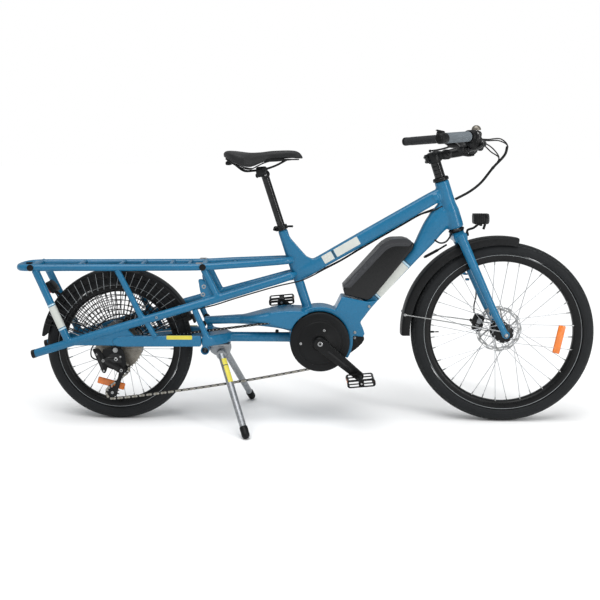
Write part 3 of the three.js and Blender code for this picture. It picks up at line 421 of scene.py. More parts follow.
class Piece:
    """Collects shapes into one object."""

    def __init__(self, name):
        self.name = name
        self.verts, self.faces, self.marks, self.materials = [], [], [], []

    def add(self, material, *shapes):
        if material not in self.materials:
            self.materials.append(material)
        mark = self.materials.index(material)
        for verts, faces in shapes:
            start = len(self.verts)
            self.verts += [tuple(v) for v in verts]
            self.faces += [tuple(start + i for i in f) for f in faces]
            self.marks += [mark] * len(faces)

    def both(self, material, *shapes):
        """Adds the shapes and their mirror images on the other side."""
        self.add(material, *shapes, *[mirrored(s) for s in shapes])

    def make(self, body, slot, *replaced, angle=38):
        mesh = bpy.data.meshes.new(self.name)
        mesh.from_pydata([at(*v) for v in self.verts], [], self.faces)
        mesh.polygons.foreach_set("material_index", self.marks)
        for material in self.materials:
            mesh.materials.append(material)
        bm = bmesh.new()
        bm.from_mesh(mesh)
        bmesh.ops.recalc_face_normals(bm, faces=bm.faces)
        bm.to_mesh(mesh)
        bm.free()
        mesh.shade_smooth()
        mesh.set_sharp_from_angle(angle=math.radians(angle))
        made = bpy.data.objects.new(self.name, mesh)
        bpy.context.scene.collection.objects.link(made)
        if body:
            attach(made, body)
        if replaced:
            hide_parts(*replaced)
        return made


def loft(stations, n=40, power=4.0, per=6):
    """A tube through (x, z, height, width) stations in the wheel plane, with a squarish section."""
    run = catmull(stations, per)
    verts = []
    for i, s in enumerate(run):
        ahead, behind = run[min(i + 1, len(run) - 1)], run[max(i - 1, 0)]
        tangent = Vector((ahead[0] - behind[0], 0, ahead[1] - behind[1])).normalized()
        rise = Y_AXIS.cross(tangent) * -1
        for k in range(n):
            a = 2 * math.pi * k / n
            c, w = math.cos(a), math.sin(a)
            across = math.copysign(abs(c) ** (2 / power), c) * s[3] / 2
            tall = math.copysign(abs(w) ** (2 / power), w) * s[2] / 2
            verts.append(Vector((s[0], 0, s[1])) + Y_AXIS * across + rise * tall)
    return verts, skin(len(run), n)


def pierced(centre, radii, count, y0, y1, keep, wave):
    """A flat plate of ring-shaped cells about Y. keep(i, k) says which cells are there, and wave(a, k)
    bends the rings.
    """
    verts, faces, index = [], [], {}

    def vert(i, k, top):
        i %= count
        if (i, k, top) not in index:
            a = math.radians(360 * i / count)
            r = radii[k] + wave(a, k)
            index[i, k, top] = len(verts)
            verts.append(Vector((centre[0] + r * math.cos(a), y1 if top else y0, centre[1] + r * math.sin(a))))
        return index[i, k, top]

    def there(i, k):
        return 0 <= k < len(radii) - 1 and keep(i % count, k)

    for i in range(count):
        for k in range(len(radii) - 1):
            if not there(i, k):
                continue
            for top in (True, False):
                faces.append((vert(i, k, top), vert(i + 1, k, top), vert(i + 1, k + 1, top), vert(i, k + 1, top)))
            for other, a, b in (((i - 1, k), (i, k), (i, k + 1)), ((i + 1, k), (i + 1, k), (i + 1, k + 1)),
                    ((i, k - 1), (i, k), (i + 1, k)), ((i, k + 1), (i, k + 1), (i + 1, k + 1))):
                if not there(*other):
                    faces.append((vert(*a, True), vert(*b, True), vert(*b, False), vert(*a, False)))
    return verts, faces


def polar(x, z, r, degrees, y=0.0):
    a = math.radians(degrees)
    return Vector((x + r * math.cos(a), y, z + r * math.sin(a)))


def melted(made, voxel, passes):
    """Joins a piece's overlapping shapes into one skin, with soft welds where they meet."""
    remesh = made.modifiers.new("join", "REMESH")
    remesh.mode = "VOXEL"
    remesh.voxel_size = voxel / 1000
    remesh.use_smooth_shade = True
    relax = made.modifiers.new("relax", "SMOOTH")
    relax.factor, relax.iterations = 0.5, passes
    bpy.context.view_layer.update()
    evaluated = made.evaluated_get(bpy.context.evaluated_depsgraph_get())
    mesh = bpy.data.meshes.new_from_object(evaluated)
    made.modifiers.clear()
    made.data = mesh
    mesh.shade_smooth()
    return made


# ------------------------------------------------------------------ wheels

# x and z of each axle. A wheel's axle height is its radius.
REAR = (0, 258)
FRONT = (1321, 308)
HALF_TYRE = 27
RIM_OUT, RIM_IN = 41.3, 68     # measured in from the tread
SPOKES = 36


def block_on_tyre(x, radius, low, high, start, end):
    """One tread block, between two angles across the tyre and two round the wheel."""
    core = radius - HALF_TYRE
    verts = []
    for depth in (HALF_TYRE - 2.4, HALF_TYRE):
        for across, round_ in ((low, start), (high, start), (high, end), (low, end)):
            a = math.radians(across)
            lag = abs(across) * 0.012
            verts.append(polar(x, radius, core + depth * math.cos(a), round_ + lag, depth * math.sin(a)))
    return verts, [(0, 1, 2, 3), (4, 5, 6, 7), (0, 1, 5, 4), (1, 2, 6, 5), (2, 3, 7, 6), (3, 0, 4, 7)]


def tyre(name, x, radius, blocks):
    core = radius - HALF_TYRE
    section = []
    for i in range(41):
        a = -118 + 236 * i / 40
        r = HALF_TYRE - (1.5 if abs(a) < 56 else 0)
        section.append((core + r * math.cos(math.radians(a)), r * math.sin(math.radians(a))))
    rows = [(-6, 6), (8, 22), (24, 39), (41, 57), (-22, -8), (-39, -24), (-57, -41)]
    pitch = 360 / blocks
    tread = [
        block_on_tyre(x, radius, low, high, pitch * (i + 0.5 * (row % 2)), pitch * (i + 0.5 * (row % 2) + 0.86))
        for row, (low, high) in enumerate(rows) for i in range(blocks)
    ]
    lines = [torus((x, side * 26.6, radius), core - 3, 0.7, n=120, m=6) for side in SIDES]
    lines += [torus((x, side * 25.2, radius), core - 9, 0.9, n=120, m=6) for side in SIDES]
    piece = Piece(name + "_tyre_visual")
    piece.add(TYRE, lathe(section, (x, 0, radius), n=160, closed=True), *tread, *lines)
    piece.make(name + "_wheel", "tyre_rubber", name + "_tyre")


def spokes(x, radius, flanges):
    shapes, nipples = [], []
    inner = radius - RIM_IN
    for i in range(SPOKES):
        flange_r, y = flanges[i % 2]
        round_ = 360 * (i + 0.5) / SPOKES
        ahead = 1 if i % 4 < 2 else -1
        hub = polar(x, radius, flange_r, round_ + ahead * 66, y + 1.8 * ahead)
        rim = polar(x, radius, inner + 1, round_, 0.25 * y)
        shapes.append(tube([hub, rim], 1.05, n=6))
        shapes.append(disc(hub, 2.2, 1.2, n=8, edge=0.4))
        nipples.append(tube([rim + (hub - rim).normalized() * 13, rim], 2.1, n=8))
    return shapes, nipples


def wheel(name, x, radius, hub, flanges, reflector, valve):
    rim = [(radius - RIM_OUT, -16), (radius - 46, -16.2), (radius - 58, -14.4), (radius - 65, -11.5),
        (radius - 67.6, -7), (radius - RIM_IN, 0)]
    rim += [(r, -y) for r, y in rim[-2::-1]]
    # Pale rings on each side of the rim near its outer edge: a painted highlight.
    lines = [lathe([(radius - 42.6, s * 16.6), (radius - 44.2, s * 16.6), (radius - 44.2, s * 15.5),
        (radius - 42.6, s * 15.5)], (x, 0, radius), n=160, closed=True) for s in SIDES]
    seams = [torus((x, s * 13.1, radius), radius - 62, 0.5, n=120, m=6) for s in SIDES]
    wires, nipples = spokes(x, radius, flanges)
    piece = Piece(name + "_wheel_visual")
    piece.add(BLACK_PAINT, lathe(rim, (x, 0, radius), n=160, closed=True), *seams)
    piece.add(PALE_HIGHLIGHT_AND_STRIPE, *lines)
    piece.add(SPOKE_STEEL, *wires)
    piece.add(STEEL, *nipples)
    piece.add(BLACK_PAINT, lathe(hub + hub[:1], (x, 0, radius), n=64))
    piece.add(ORANGE, block(reflector[:3], (98, 8, 24), 6, about_y(reflector[3]), 3))
    foot, head = polar(x, radius, radius - 66, valve), polar(x, radius, radius - 96, valve)
    piece.add(BLACK_PLASTIC, tube([foot, foot.lerp(head, 0.45)], 3.4, n=12), tube([foot, head], 2.2, n=12))
    piece.add(STEEL, tube([foot.lerp(head, 0.5), foot.lerp(head, 0.62)], 3.0, n=6))
    piece.make(name + "_wheel", "black_metal", name + "_wheel")


def rotor(name, x, z, y, bore):
    """A brake rotor with a wavy edge, a drilled track and six curved arms."""
    count = 144

    def wave(a, k):
        return (1.2 * math.cos(12 * a) - 1.2) if k in (0, 4) else 0

    def keep(i, k):
        phase = i % 12
        return not (k == 1 and phase in (1, 2, 3, 4)) and not (k == 2 and phase in (6, 7, 8, 9))

    track = pierced((x, z), [66, 70, 73, 76, 80], count, y - 0.9, y + 0.9, keep, wave)
    arms = []
    for i in range(6):
        a = 60 * i
        run = catmull([polar(x, z, 21, a, y), polar(x, z, 36, a + 9, y), polar(x, z, 52, a + 19, y),
            polar(x, z, 68, a + 25, y)], 5)
        arms.append(sweep(run, rounded(5.5, 1.8, 0.5, 2), up=Y_AXIS))
        arms.append(sweep([polar(x, z, 40, a + 11, y), polar(x, z, 66, a + 2, y)], rounded(3.6, 1.8, 0.5, 2),
            up=Y_AXIS))
    piece = Piece(name + "_rotor_visual")
    piece.add(STEEL, track, *arms)
    centre = [(bore, -2), (23, -2), (25, -0.8), (25, 0.8), (23, 2), (bore, 2)]
    piece.add(BLACK_PAINT, lathe(centre + centre[:1], (x, y, z), n=48))
    piece.add(STEEL, *[hex_bolt(polar(x, z, 19.5, 60 * i + 30, y + 1.6), Y_AXIS, 2.6, 1.4) for i in range(6)])
    piece.make(name + "_wheel", "steel", name + "_rotor")


REAR_HUB = [(6.6, -17), (21, -17), (25, -14), (26, -12.5), (26, -10), (24, -9), (17, -5), (15.5, 0), (15.5, 20),
    (17, 26), (24, 30), (26, 31), (26, 33.5), (24, 35), (20, 38), (20, 48.7), (6.6, 48.7)]
FRONT_HUB = [(6.6, -44), (11, -44), (12, -43), (12, -34), (20, -31), (33, -29.8), (34, -29), (34, -27),
    (31, -25.5), (26, -22), (25, -16), (25, 12), (27, 19), (32, 23), (34, 24.5), (34, 27), (32, 28),
    (20, 31), (20, 38.7), (6.6, 38.7)]

tyre("rear", *REAR, 86)
tyre("front", *FRONT, 102)
wheel("rear", *REAR, REAR_HUB, [(23, -11), (23, 32)], (-31, -12, 124, -15), 20)
wheel("front", *FRONT, FRONT_HUB, [(31, -28), (31, 26)], (1512, -10, 282, 77), 180.6)
rotor("rear", *REAR, 50, 12.6)
rotor("front", *FRONT, 40, 12.6)

axle = Piece("rear_axle_visual")
profile = [(0, -82.6), (4, -82.6), (4.2, -80), (8.4, -80), (9, -79), (9, -73.4), (6, -73.3), (6, 73.3), (9, 73.4),
    (9, 79), (8, 80), (6, 82.6), (0, 82.6)]
axle.add(STEEL, lathe(profile, (0, 0, 258), n=32))
axle.make("frame", "steel", "rear_axle")

# ------------------------------------------------------------------ drive train

BB = (699, 283)
CHAIN_Y = -54
CHAIN_SAG = 36
PITCH = 12.7


def pitch_radius(teeth):
    return PITCH / (2 * math.sin(math.pi / teeth))


cogs = Piece("cassette_visual")
COG_TEETH = (42, 37, 32, 28, 24, 21, 18, 15, 13, 11)
for number, teeth in enumerate(COG_TEETH):
    r, y = pitch_radius(teeth), -21.5 - 3.61 * number
    hole = max(r - 15, 12.5) if number < 7 else 12.5
    cogs.add(COG_STEEL, gear(REAR, teeth, r - 3.6, min(r + 2.4, 86), y - 1, y + 1, hole))
    if number < 7:
        cogs.add(COG_STEEL, *[
            sweep([polar(*REAR, 12, 72 * k + 9 * number, y), polar(*REAR, hole + 2, 72 * k + 9 * number + 8, y)],
                  rounded(7, 1.6, 0.4, 2), up=Y_AXIS) for k in range(5)])
cogs.add(BLACK_PAINT, lathe([(6.8, -19), (14, -19), (14, -57), (6.8, -57)], (0, 0, 258), n=40, closed=True))
cogs.add(STEEL, gear(REAR, 24, 15.4, 16.6, -58.8, -56.6, 7))
cogs.make("cassette", "steel", "cassette")

WHEELS = [(*REAR, pitch_radius(11), 1), (*BB, pitch_radius(42), 1), (-17, 105, pitch_radius(11), 1),
    (20, 188, pitch_radius(11), -1)]


def chain_line():
    """The chain's centre line, round the cog, the ring and the two pulleys, as a dense closed loop."""
    leans = []
    for a, b in zip(WHEELS, WHEELS[1:] + WHEELS[:1]):
        dx, dz = b[0] - a[0], b[1] - a[1]
        leans.append(math.atan2(dz, dx) - math.asin((a[2] * a[3] - b[2] * b[3]) / math.hypot(dx, dz)))
    points = []
    for i, (x, z, r, turn) in enumerate(WHEELS):
        wrap = ((leans[i - 1] - leans[i]) * turn) % (2 * math.pi)
        for k in range(25):
            a = leans[i - 1] - turn * wrap * k / 24
            points.append(Vector((x - turn * r * math.sin(a), CHAIN_Y, z + turn * r * math.cos(a))))
        if i == 1:
            tension = WHEELS[2]
            start = points[-1]
            end = Vector((tension[0] - tension[2] * math.sin(leans[1]), CHAIN_Y,
                tension[1] + tension[2] * math.cos(leans[1])))
            for k in range(1, 16):
                t = k / 16
                points.append(start.lerp(end, t) - Z_AXIS * (CHAIN_SAG * t * (1 - t)))
    return points


def spaced(points, step):
    """Points a whole number of equal steps apart round the loop."""
    loop = points + points[:1]
    lengths = [(b - a).length for a, b in zip(loop, loop[1:])]
    count = 2 * round(sum(lengths) / step / 2)
    gap, out, along, k = sum(lengths) / count, [], 0.0, 0
    for i in range(count):
        while along + lengths[k] < i * gap and k < len(lengths) - 1:
            along += lengths[k]
            k += 1
        out.append(loop[k].lerp(loop[k + 1], (i * gap - along) / max(lengths[k], 1e-9)))
    return out


def link_plate(a, b, y, half, waist, thick):
    """A chain plate: two round ends and a narrower middle."""
    along = (b - a).normalized()
    rise = Vector((-along.z, 0, along.x))
    ring = []
    for end, start in ((b, -90), (a, 90)):
        for k in range(7):
            t = math.radians(start + 30 * k)
            ring.append(end + along * (half * math.cos(t)) + rise * (half * math.sin(t)))
        middle = (a + b) / 2 + rise * (waist if start == -90 else -waist)
        ring.append(middle)
    return slab([(p.x, p.z) for p in ring], y - thick / 2, y + thick / 2, 0)


chain = Piece("chain_visual")
pins = spaced(chain_line(), PITCH)
for i, a in enumerate(pins):
    b = pins[(i + 1) % len(pins)]
    apart = 3.0 if i % 2 else 1.9
    material = CHAIN_STEEL if i % 2 and a.z < 250 else BLACK_PAINT
    for side in SIDES:
        chain.add(material, link_plate(a, b, CHAIN_Y + side * apart, 4.0, 3.1, 0.9))
    chain.add(STEEL, lathe([(0, -3.5), (1.7, -3.5), (1.7, 3.5), (0, 3.5)], a, n=8))
    chain.add(BLACK_PAINT, lathe([(0, -1.4), (3.6, -1.4), (3.6, 1.4), (0, 1.4)], a, n=10))
chain.make("frame", "steel", "chain")

for name, (x, z, r, turn) in (("tension_pulley", WHEELS[2]), ("guide_pulley", WHEELS[3])):
    pulley = Piece(name + "_visual")
    pulley.add(BLACK_PLASTIC, gear((x, z), 11, r - 5.2, r + 1.5, CHAIN_Y - 1.1, CHAIN_Y + 1.1, 5.5))
    hub = [(3.5, -2.4), (8, -2.4), (8.6, -1.8), (8.6, 1.8), (8, 2.4), (3.5, 2.4)]
    pulley.add(BLACK_PLASTIC, lathe(hub + hub[:1], (x, CHAIN_Y, z), n=28))
    pulley.make(name, "black_plastic", name)

cage = Piece("derailleur_cage_visual")
for side in SIDES:
    y = CHAIN_Y + side * 5.9
    line = [(31, 190), (24, 199), (13, 196), (9, 186), (4, 160), (-8, 130), (-28, 108), (-27, 97), (-17, 94),
        (-6, 99), (4, 118), (14, 150), (24, 172)]
    cage.add(BLACK_PAINT, slab(filleted(line, 8), y - 0.9, y + 0.9, 0.4, 1))
    cage.add(BLACK_PAINT, slab(filleted([(14, 150), (4, 118), (-4, 126), (6, 158)], 3), y + side * 0.7,
        y + side * 1.6, 0.3, 1))
for x, z in ((20, 188), (-17, 105)):
    cage.add(STEEL, lathe([(0, -5.6), (2.9, -5.6), (2.9, 5.6), (0, 5.6)], (x, CHAIN_Y, z), n=16))
    cage.add(STEEL, hex_bolt((x, CHAIN_Y - 6.6, z), -Y_AXIS, 5, 2))
cage.make("frame", "black_metal", "derailleur_cage")

mech = Piece("derailleur_body_visual")
mech.add(BLACK_PAINT, disc((2, -72, 227), 11, 8.6, edge=2), disc((-42, -74.5, 222), 11.5, 9, edge=2.4),
    disc((20, -71.8, 188), 11.5, 10, edge=3), disc((20, -64.5, 188), 14, 3, edge=1))
mech.add(GLOSS_PLASTIC, tube([(2, -74, 227), (-20, -76, 229), (-42, -76, 222)], 8, n=18))
mech.add(BLACK_PAINT, slab(filleted([(-50, 229), (-36, 233), (31, 196), (28, 180), (12, 178), (-12, 196), (-50, 213)],
    7), -83, -70, 3, 3))
mech.add(GLOSS_PLASTIC, slab(filleted([(-36, 224), (14, 198), (8, 188), (-14, 202), (-38, 213)], 4), -84, -81, 1.2))
mech.add(BLACK_PAINT, slab(filleted([(-6, 262), (9, 262), (12, 232), (6, 219), (-5, 219), (-9, 232)], 4), -71, -63.5,
    1.2, 2))
mech.add(BLACK_PLASTIC, slab(filleted([(-80, 262), (-58, 264), (-40, 238), (-28, 196), (-36, 177), (-46, 180),
                                  (-58, 214)], 6), -83, -72, 3, 3),
    slab(filleted([(-44, 262), (24, 262), (34, 236), (36, 204), (22, 184), (-6, 190), (-30, 196),
                   (-50, 226)], 9), -79, -72, 3, 3))
mech.add(GLOSS_PLASTIC, slab(filleted([(-68, 252), (-58, 252), (-42, 200), (-44, 190), (-52, 206)], 3), -84, -81, 1),
    slab(filleted([(-20, 246), (16, 246), (24, 214), (-24, 214)], 5), -82, -78, 1.6))
mech.add(STEEL, *[hex_bolt((x, -83.4, z), -Y_AXIS, 3.4, 1.4) for x, z in ((-64, 244), (-40, 187), (18, 236))])
mech.add(STEEL, hex_bolt((2, -80.4, 227), -Y_AXIS, 6.5, 3), hex_bolt((-42, -82.8, 222), -Y_AXIS, 5, 1.8),
    hex_bolt((20, -81.4, 188), -Y_AXIS, 5.5, 2.4))
mech.add(BLACK_PLASTIC, tube([(-57, -76, 224), (-50, -76, 223)], 4.2, n=12))
mech.make("frame", "black_metal", "derailleur_body")

# ------------------------------------------------------------------ the welded frame

WELD = 2.6               # the voxel size of a welded skin
MOTOR = (700, 285)       # x and z of the motor's centre
STEER_LOW = Vector((1166, 0, 664))
STEER_AXIS = Vector((-49, 0, 161)).normalized()
STEER_FORWARD = Vector((STEER_AXIS.z, 0, -STEER_AXIS.x))
HEAD_LENGTH = math.hypot(49, 161)
SEAT_TOP = Vector((575, 0, 661))
SEAT_DOWN = Vector((0.312, 0, -1)).normalized()


def steer(up, forward=0.0):
    """A point on the steering axis, above the foot of the head tube."""
    return STEER_LOW + STEER_AXIS * up + STEER_FORWARD * forward


def seat(down):
    """A point on the seat tube's axis, below its top."""
    return SEAT_TOP + SEAT_DOWN * down


def arc(x, z, r, start, end, n=40):
    return [(x + r * math.cos(math.radians(start + (end - start) * i / n)),
        z + r * math.sin(math.radians(start + (end - start) * i / n))) for i in range(n + 1)]


# The shell round the motor is open at the lower right, where the motor bulges out of it.
shell_side = []
for step in range(52):
    around = -42 - 5 * step
    hidden = min(1, max(0, (-around - 46) / 16)) * min(1, max(0, (232 + around) / 34))
    shell_side.append(tuple(polar(*MOTOR, 115 - 11 * hidden, around).xz))
shell_side += [(776, 434), (785, 433), (862, 417), (897, 420), (866, 388), (846, 362), (838, 344), (847, 326),
    (853, 306), (846, 296), (800, 302)]
shell_side += arc(*MOTOR, 99, 10, 316)

front_frame = Piece("front_frame")
front_frame.add(
    BLUE,
    loft([(828, 360, 44, 46), (873, 413, 38, 46), (955, 500, 38, 46), (1035, 587, 42, 46), (1066, 630, 60, 46),
          (1094, 672, 72, 46), (1134, 716, 84, 44)], power=3.4),
    loft([(1124, 786, 42, 38), (1085, 765, 44, 40), (1000, 716, 46, 40), (878, 646, 48, 40), (780, 591, 46, 40),
          (706, 549, 45, 40), (660, 523, 48, 38), (624, 506, 46, 32)], power=3.6),
    slab([(606, 560), (580, 650), (590, 652), (606, 628), (641, 587), (658, 568), (676, 560), (692, 564), (706, 572),
          (720, 540), (640, 492), (628, 500)], -17, 17, 0),
    slab([(1030, 620), (1080, 716), (1112, 752), (1140, 700), (1120, 660)], -15, 15, 0),
    sweep([seat(1), seat(285)], circle(17, 36)),
    sweep([steer(0), steer(HEAD_LENGTH)], circle(24.5, 48)),
    lathe([(0, 1), (27.5, 1), (28.5, 12), (28.5, 62), (24, 88), (0, 88)], steer(0), STEER_AXIS, 48),
    lathe([(0, 0), (11, 0), (11, 3.5), (0, 3.5)], (1096, -21, 770), -Y_AXIS, 24),
    slab(shell_side, -42, 42, 0),
    loft([(300, 345.5, 24, 42), (427, 350, 31, 44), (479, 349, 41, 44), (566, 347.5, 60, 44), (612, 344, 76, 44)],
         power=3.4),
    loft([(372, 288, 32, 34), (596, 287, 34, 36)], power=2.2),
    loft([(420, 350, 26, 40), (452, 352, 30, 76), (484, 357, 33, 108), (520, 361, 42, 122), (556, 362, 54, 124)],
         power=4),
    slab([(530, 341), (552, 336), (582, 328), *arc(*BB, 104, 156, 111, 12), (640, 388), (600, 390), (556, 387),
          (530, 382)], -62, 62, 5),
    *[slab([*arc(*MOTOR, 113, 52, -34, 20), *arc(*MOTOR, 99, -34, 52, 20)], side * 34, side * 43, 0)
      for side in SIDES],
    slab([(640, 300), (628, 388), (700, 401), (720, 396)], -20, 20, 0),
)
melted(front_frame.make("frame", "blue_paint", "head_tube", "seat_tube", "down_tube", "top_tube", "motor_cradle"),
    WELD, 10)

trim = Piece("front_frame_trim")
lower_cup = [(18.6, 0), (27, 0), (27, 4), (25.4, 6), (24.6, 6), (24.6, -1), (18.6, -1)]
trim.add(BLACK_PAINT, lathe(lower_cup, steer(-9), STEER_AXIS, 64))
for side in SIDES:
    trim.add(STEEL, *[hex_bolt((x, side * 42.5, z), Y_AXIS * side, 5, 3.4) for x, z in ((819, 313), (868, 402))])
trim.add(BLACK_PLASTIC, *[disc((302, side * 61.6, 345), 11.4, 1.2, n=32) for side in SIDES])
trim.add(BLACK_PLASTIC, block((553, 0, 307), (12, 22, 9), 3), block((1084, 0, 783), (16, 12, 3), 1, about_y(30)))
trim.make("frame", "black_metal")

# Blank panels where the frame is labelled.
panels = Piece("blank_panels")


PANEL_THICK = 0.7


def panel(corners, y, material):
    panels.both(material, slab(filleted(corners, 2.5), y, y - PANEL_THICK, 0.25, 1))


def along(a, b, start, end, half):
    """A four-cornered patch on the line from a to b, between two shares of its length."""
    a, b = Vector(a), Vector(b)
    d = (b - a).normalized()
    n = Vector((-d.y, d.x)) * half
    p, q = a.lerp(b, start), a.lerp(b, end)
    return [tuple(p - n), tuple(q - n), tuple(q + n), tuple(p + n)]


DOWN_LINE = ((852, 389), (1046, 600))
TOP_LINE = ((706, 553), (1006, 723))
panel(along(*DOWN_LINE, 0.24, 0.72, 15.5), -22.8, CREAM)
for start, end in ((0.215, 0.235), (0.725, 0.745)):
    panel(along(*DOWN_LINE, start, end, 15.5), -22.8, PALE_BLUE)
for start, end in ((0.2, 0.208), (0.752, 0.76)):
    panel(along(*DOWN_LINE, start, end, 15.5), -22.8, DARK_LINE)
panel(along(*TOP_LINE, 0.025, 0.135, 14.5), -19.8, CREAM)
panel(along(*TOP_LINE, 0.163, 0.43, 14.5), -19.8, CREAM)
panel(along(*TOP_LINE, 0.143, 0.155, 14.5), -19.8, DARK_LINE)
panels.make("frame", "blue_paint")

# The wide fork that carries the rear wheel: lower tube, yoke and cross tube.
yoke = Piece("lower_tube_visual")
plate = [(296, -86), (330, -86), (368, -46), (396, -17), (396, 17), (368, 46), (330, 86), (296, 86)]
flat = slab(filleted(plate, 16), 271, 307, 9, 4)
yoke.add(BLUE, ([Vector((v[0], v[2], v[1])) for v in flat[0]], flat[1]))
yoke.add(BLUE, tube([(372, 0, 288), (584, 0, 287)], 17, n=36))
yoke.add(BLUE, lathe([(11.6, -79.6), (15, -79.6), (15, 79.6), (11.6, 79.6)], (308, 0, 256), n=32, closed=True))
yoke.both(BLUE, tube([(318, -76, 296), (274, -73, 398)], 10.6, n=24))
melted(yoke.make("frame", "blue_paint", "lower_tube"), WELD, 14)

RAIL = [(-283, 75, 244), (-16, 75, 326), (106, 75, 362), (330, 66, 427), (480, 46, 470), (598, 31, 504),
    (624, 19, 512)]
STRUTS = [((-277, 533), (-166, 292), 13), ((8, 533), (92, 372), 10.5), ((306, 535), (358, 428), 12)]


def to_side(points, side):
    return [Vector((x, side * y, z)) for x, y, z in points]


for side, name in NAMED_SIDES:
    rail = Piece(name + "_side_frame_visual")
    # The last stretch narrows, so that the seatpost can pass between the buried ends.
    rail.add(BLUE, tube(to_side(RAIL, side), 14.4, n=28, per=10, size=lambda t: 1 - 4.6 * max(0, t - 0.85)))
    for (x0, z0), (x1, z1), r in STRUTS:
        top, foot = Vector((x0, side * 64, z0)), Vector((x1, side * 75, z1))
        if x0 > 200:
            foot.y = side * 64
        rail.add(BLUE, tube([top, foot], r, n=24))
    plate = [(-168, 292), (-156, 273), (60, 273), (72, 300), (44, 330), (-30, 328), (-90, 310)]
    rail.add(BLUE, slab(filleted(plate, 9), side * 68, side * 80, 2.2, 3))
    eyelet_plate = [(286, 500), (304, 500), (345, 438), (330, 424), (300, 428), (292, 460)]
    rail.add(BLUE, slab(filleted(eyelet_plate, 7), side * 56, side * 63, 1, 2))
    melted(rail.make("frame", "blue_paint", name + "_side_frame"), WELD, 5)
    rail = Piece(name + "_side_frame_trim")
    for x, z in ((306, 474), (303, 447)):
        rail.add(SILVER, lathe([(3.5, -3.4), (7.5, -3.4), (7.5, 3.4), (3.5, 3.4)], (x, side * 60, z), n=24,
            closed=True))
    rail.add(BLACK_PLASTIC, tube(to_side([(-290, 75, 242), (-278, 75, 245.6)], side), 14.6, n=28))
    rail.add(STEEL, hex_bolt((146, side * 88, 373), Y_AXIS * side, 4.4, 2.6))
    rail.add(BLUE, disc((146, side * 84, 373), 6.4, 6, n=20))
    top, foot = Vector((-277, side * 64, 533)), Vector((-166, side * 75, 292))
    for material, start, end in ((CREAM, 0.52, 0.82), (PALE_BLUE, 0.49, 0.51), (PALE_BLUE, 0.83, 0.85)):
        rail.add(material, tube([top.lerp(foot, start), top.lerp(foot, end)], 13.35, n=28))
    rail.make("frame", "blue_paint")

    stay = Piece(name + "_chainstay_visual")
    outline = [(-12, 291), (-2, 274), (16, 271), (296, 271), (296, 307), (30, 307), (4, 303)]
    stay.add(BLUE, slab(filleted(outline, 8), side * 62.3, side * 83.6, 5, 5))
    dropout = [(-15, 246), (-9, 241), (9, 241), (15, 246), (22, 284), (-8, 288)]
    stay.add(BLACK_PAINT, slab(filleted(dropout, 5), side * 66, side * 72, 1, 2))
    stay.add(BLUE, tube([(139, side * 76, 302), (104, side * 75, 362)], 9.5, n=22),
        torus((137, side * 76, 307), 9.6, 2.4, (-0.5, 0, 0.86), 24, 8))
    stay.add(YELLOW, slab(filleted([(178, 296), (266, 296), (266, 309.4), (178, 309.4)], 3), side * 81, side * 83.9,
        0.3, 1))
    stay.make("frame", "blue_paint", name + "_chainstay")

# The rack.
EDGE = [(606, 15, 558), (588, 27, 557), (500, 45, 552), (400, 58, 547), (304, 64, 542), (100, 64, 541),
    (-150, 64, 541), (-290, 64, 541), (-330, 50, 540)]
loop = to_side(EDGE, RIGHT) + [Vector((-344, 0, 539))] + to_side(EDGE[::-1], LEFT)
rack = Piece("rack_deck_visual")
rack.add(BLUE, tube(loop, 12.1, n=28, per=6))
for x in (-130, 12, 88, 188, 251, 408):
    reach = 52 if x > 304 else 60
    rack.add(BLUE, tube([(x, -reach, 546), (x, reach, 546)], 5.8, n=16))
    rack.add(BLUE, *[torus((x, s * (reach - 8), 546), 5.8, 1.6, n=18, m=8) for s in SIDES])
for x in (-290, 304):
    rack.add(BLUE, tube([(x, -77, 542), (x, 77, 542)], 11, n=28))
    rack.add(BLACK_PLASTIC, *[disc((x, s * 78.3, 542), 11.4, 1.5, n=28, edge=0.8) for s in SIDES])
rack.add(BLACK_PLASTIC, block((-304, -40, 553), (22, 10, 8), 2))
rack.both(SILVER, block((292, -64, 553), (24, 12, 7), 2))
rack.make("frame", "blue_paint", "rack_deck")

# ------------------------------------------------------------------ seat

clamp = Piece("seat_clamp_visual")
collar = [(13.9, 0.3), (19.2, 0.3), (20, 1.2), (20, 14.8), (19, 16), (15, 16), (13.9, 15)]
clamp.add(BLACK_PAINT, lathe(collar + collar[:1], SEAT_TOP, -SEAT_DOWN, 48))
clamp.add(BLACK_PAINT, block((551, -7.2, 664), (16, 11, 13), 2.4, about_y(-17)),
    block((551, 7.2, 664), (16, 11, 13), 2.4, about_y(-17)))
clamp.add(STEEL, lathe([(0, -18), (3.4, -18), (3.4, 19.5), (0, 19.5)], (552, 0, 664), n=16))
clamp.add(BLACK_PAINT, disc((552, -15.6, 664), 6, 2.4, n=6, edge=0.6))
clamp.make("frame", "black_metal", "seat_clamp")

lever = Piece("seat_quick_release_visual")
lever.add(BLACK_PAINT, lathe([(0, -7), (5, -7), (6, -6), (6, 6), (5, 7), (0, 7)], (552, 26, 664), Z_AXIS, 24),
    tube([(552, 26, 664), (575, 33.5, 668), (600, 32, 670), (611, 28.5, 670)], 3.8, n=16,
         size=lambda t: 0.85 + 0.2 * t))
lever.add(STEEL, hex_bolt((552, 26, 670.6), Z_AXIS, 3.6, 1.2))
lever.make("seat_lever", "black_metal", "seat_quick_release")

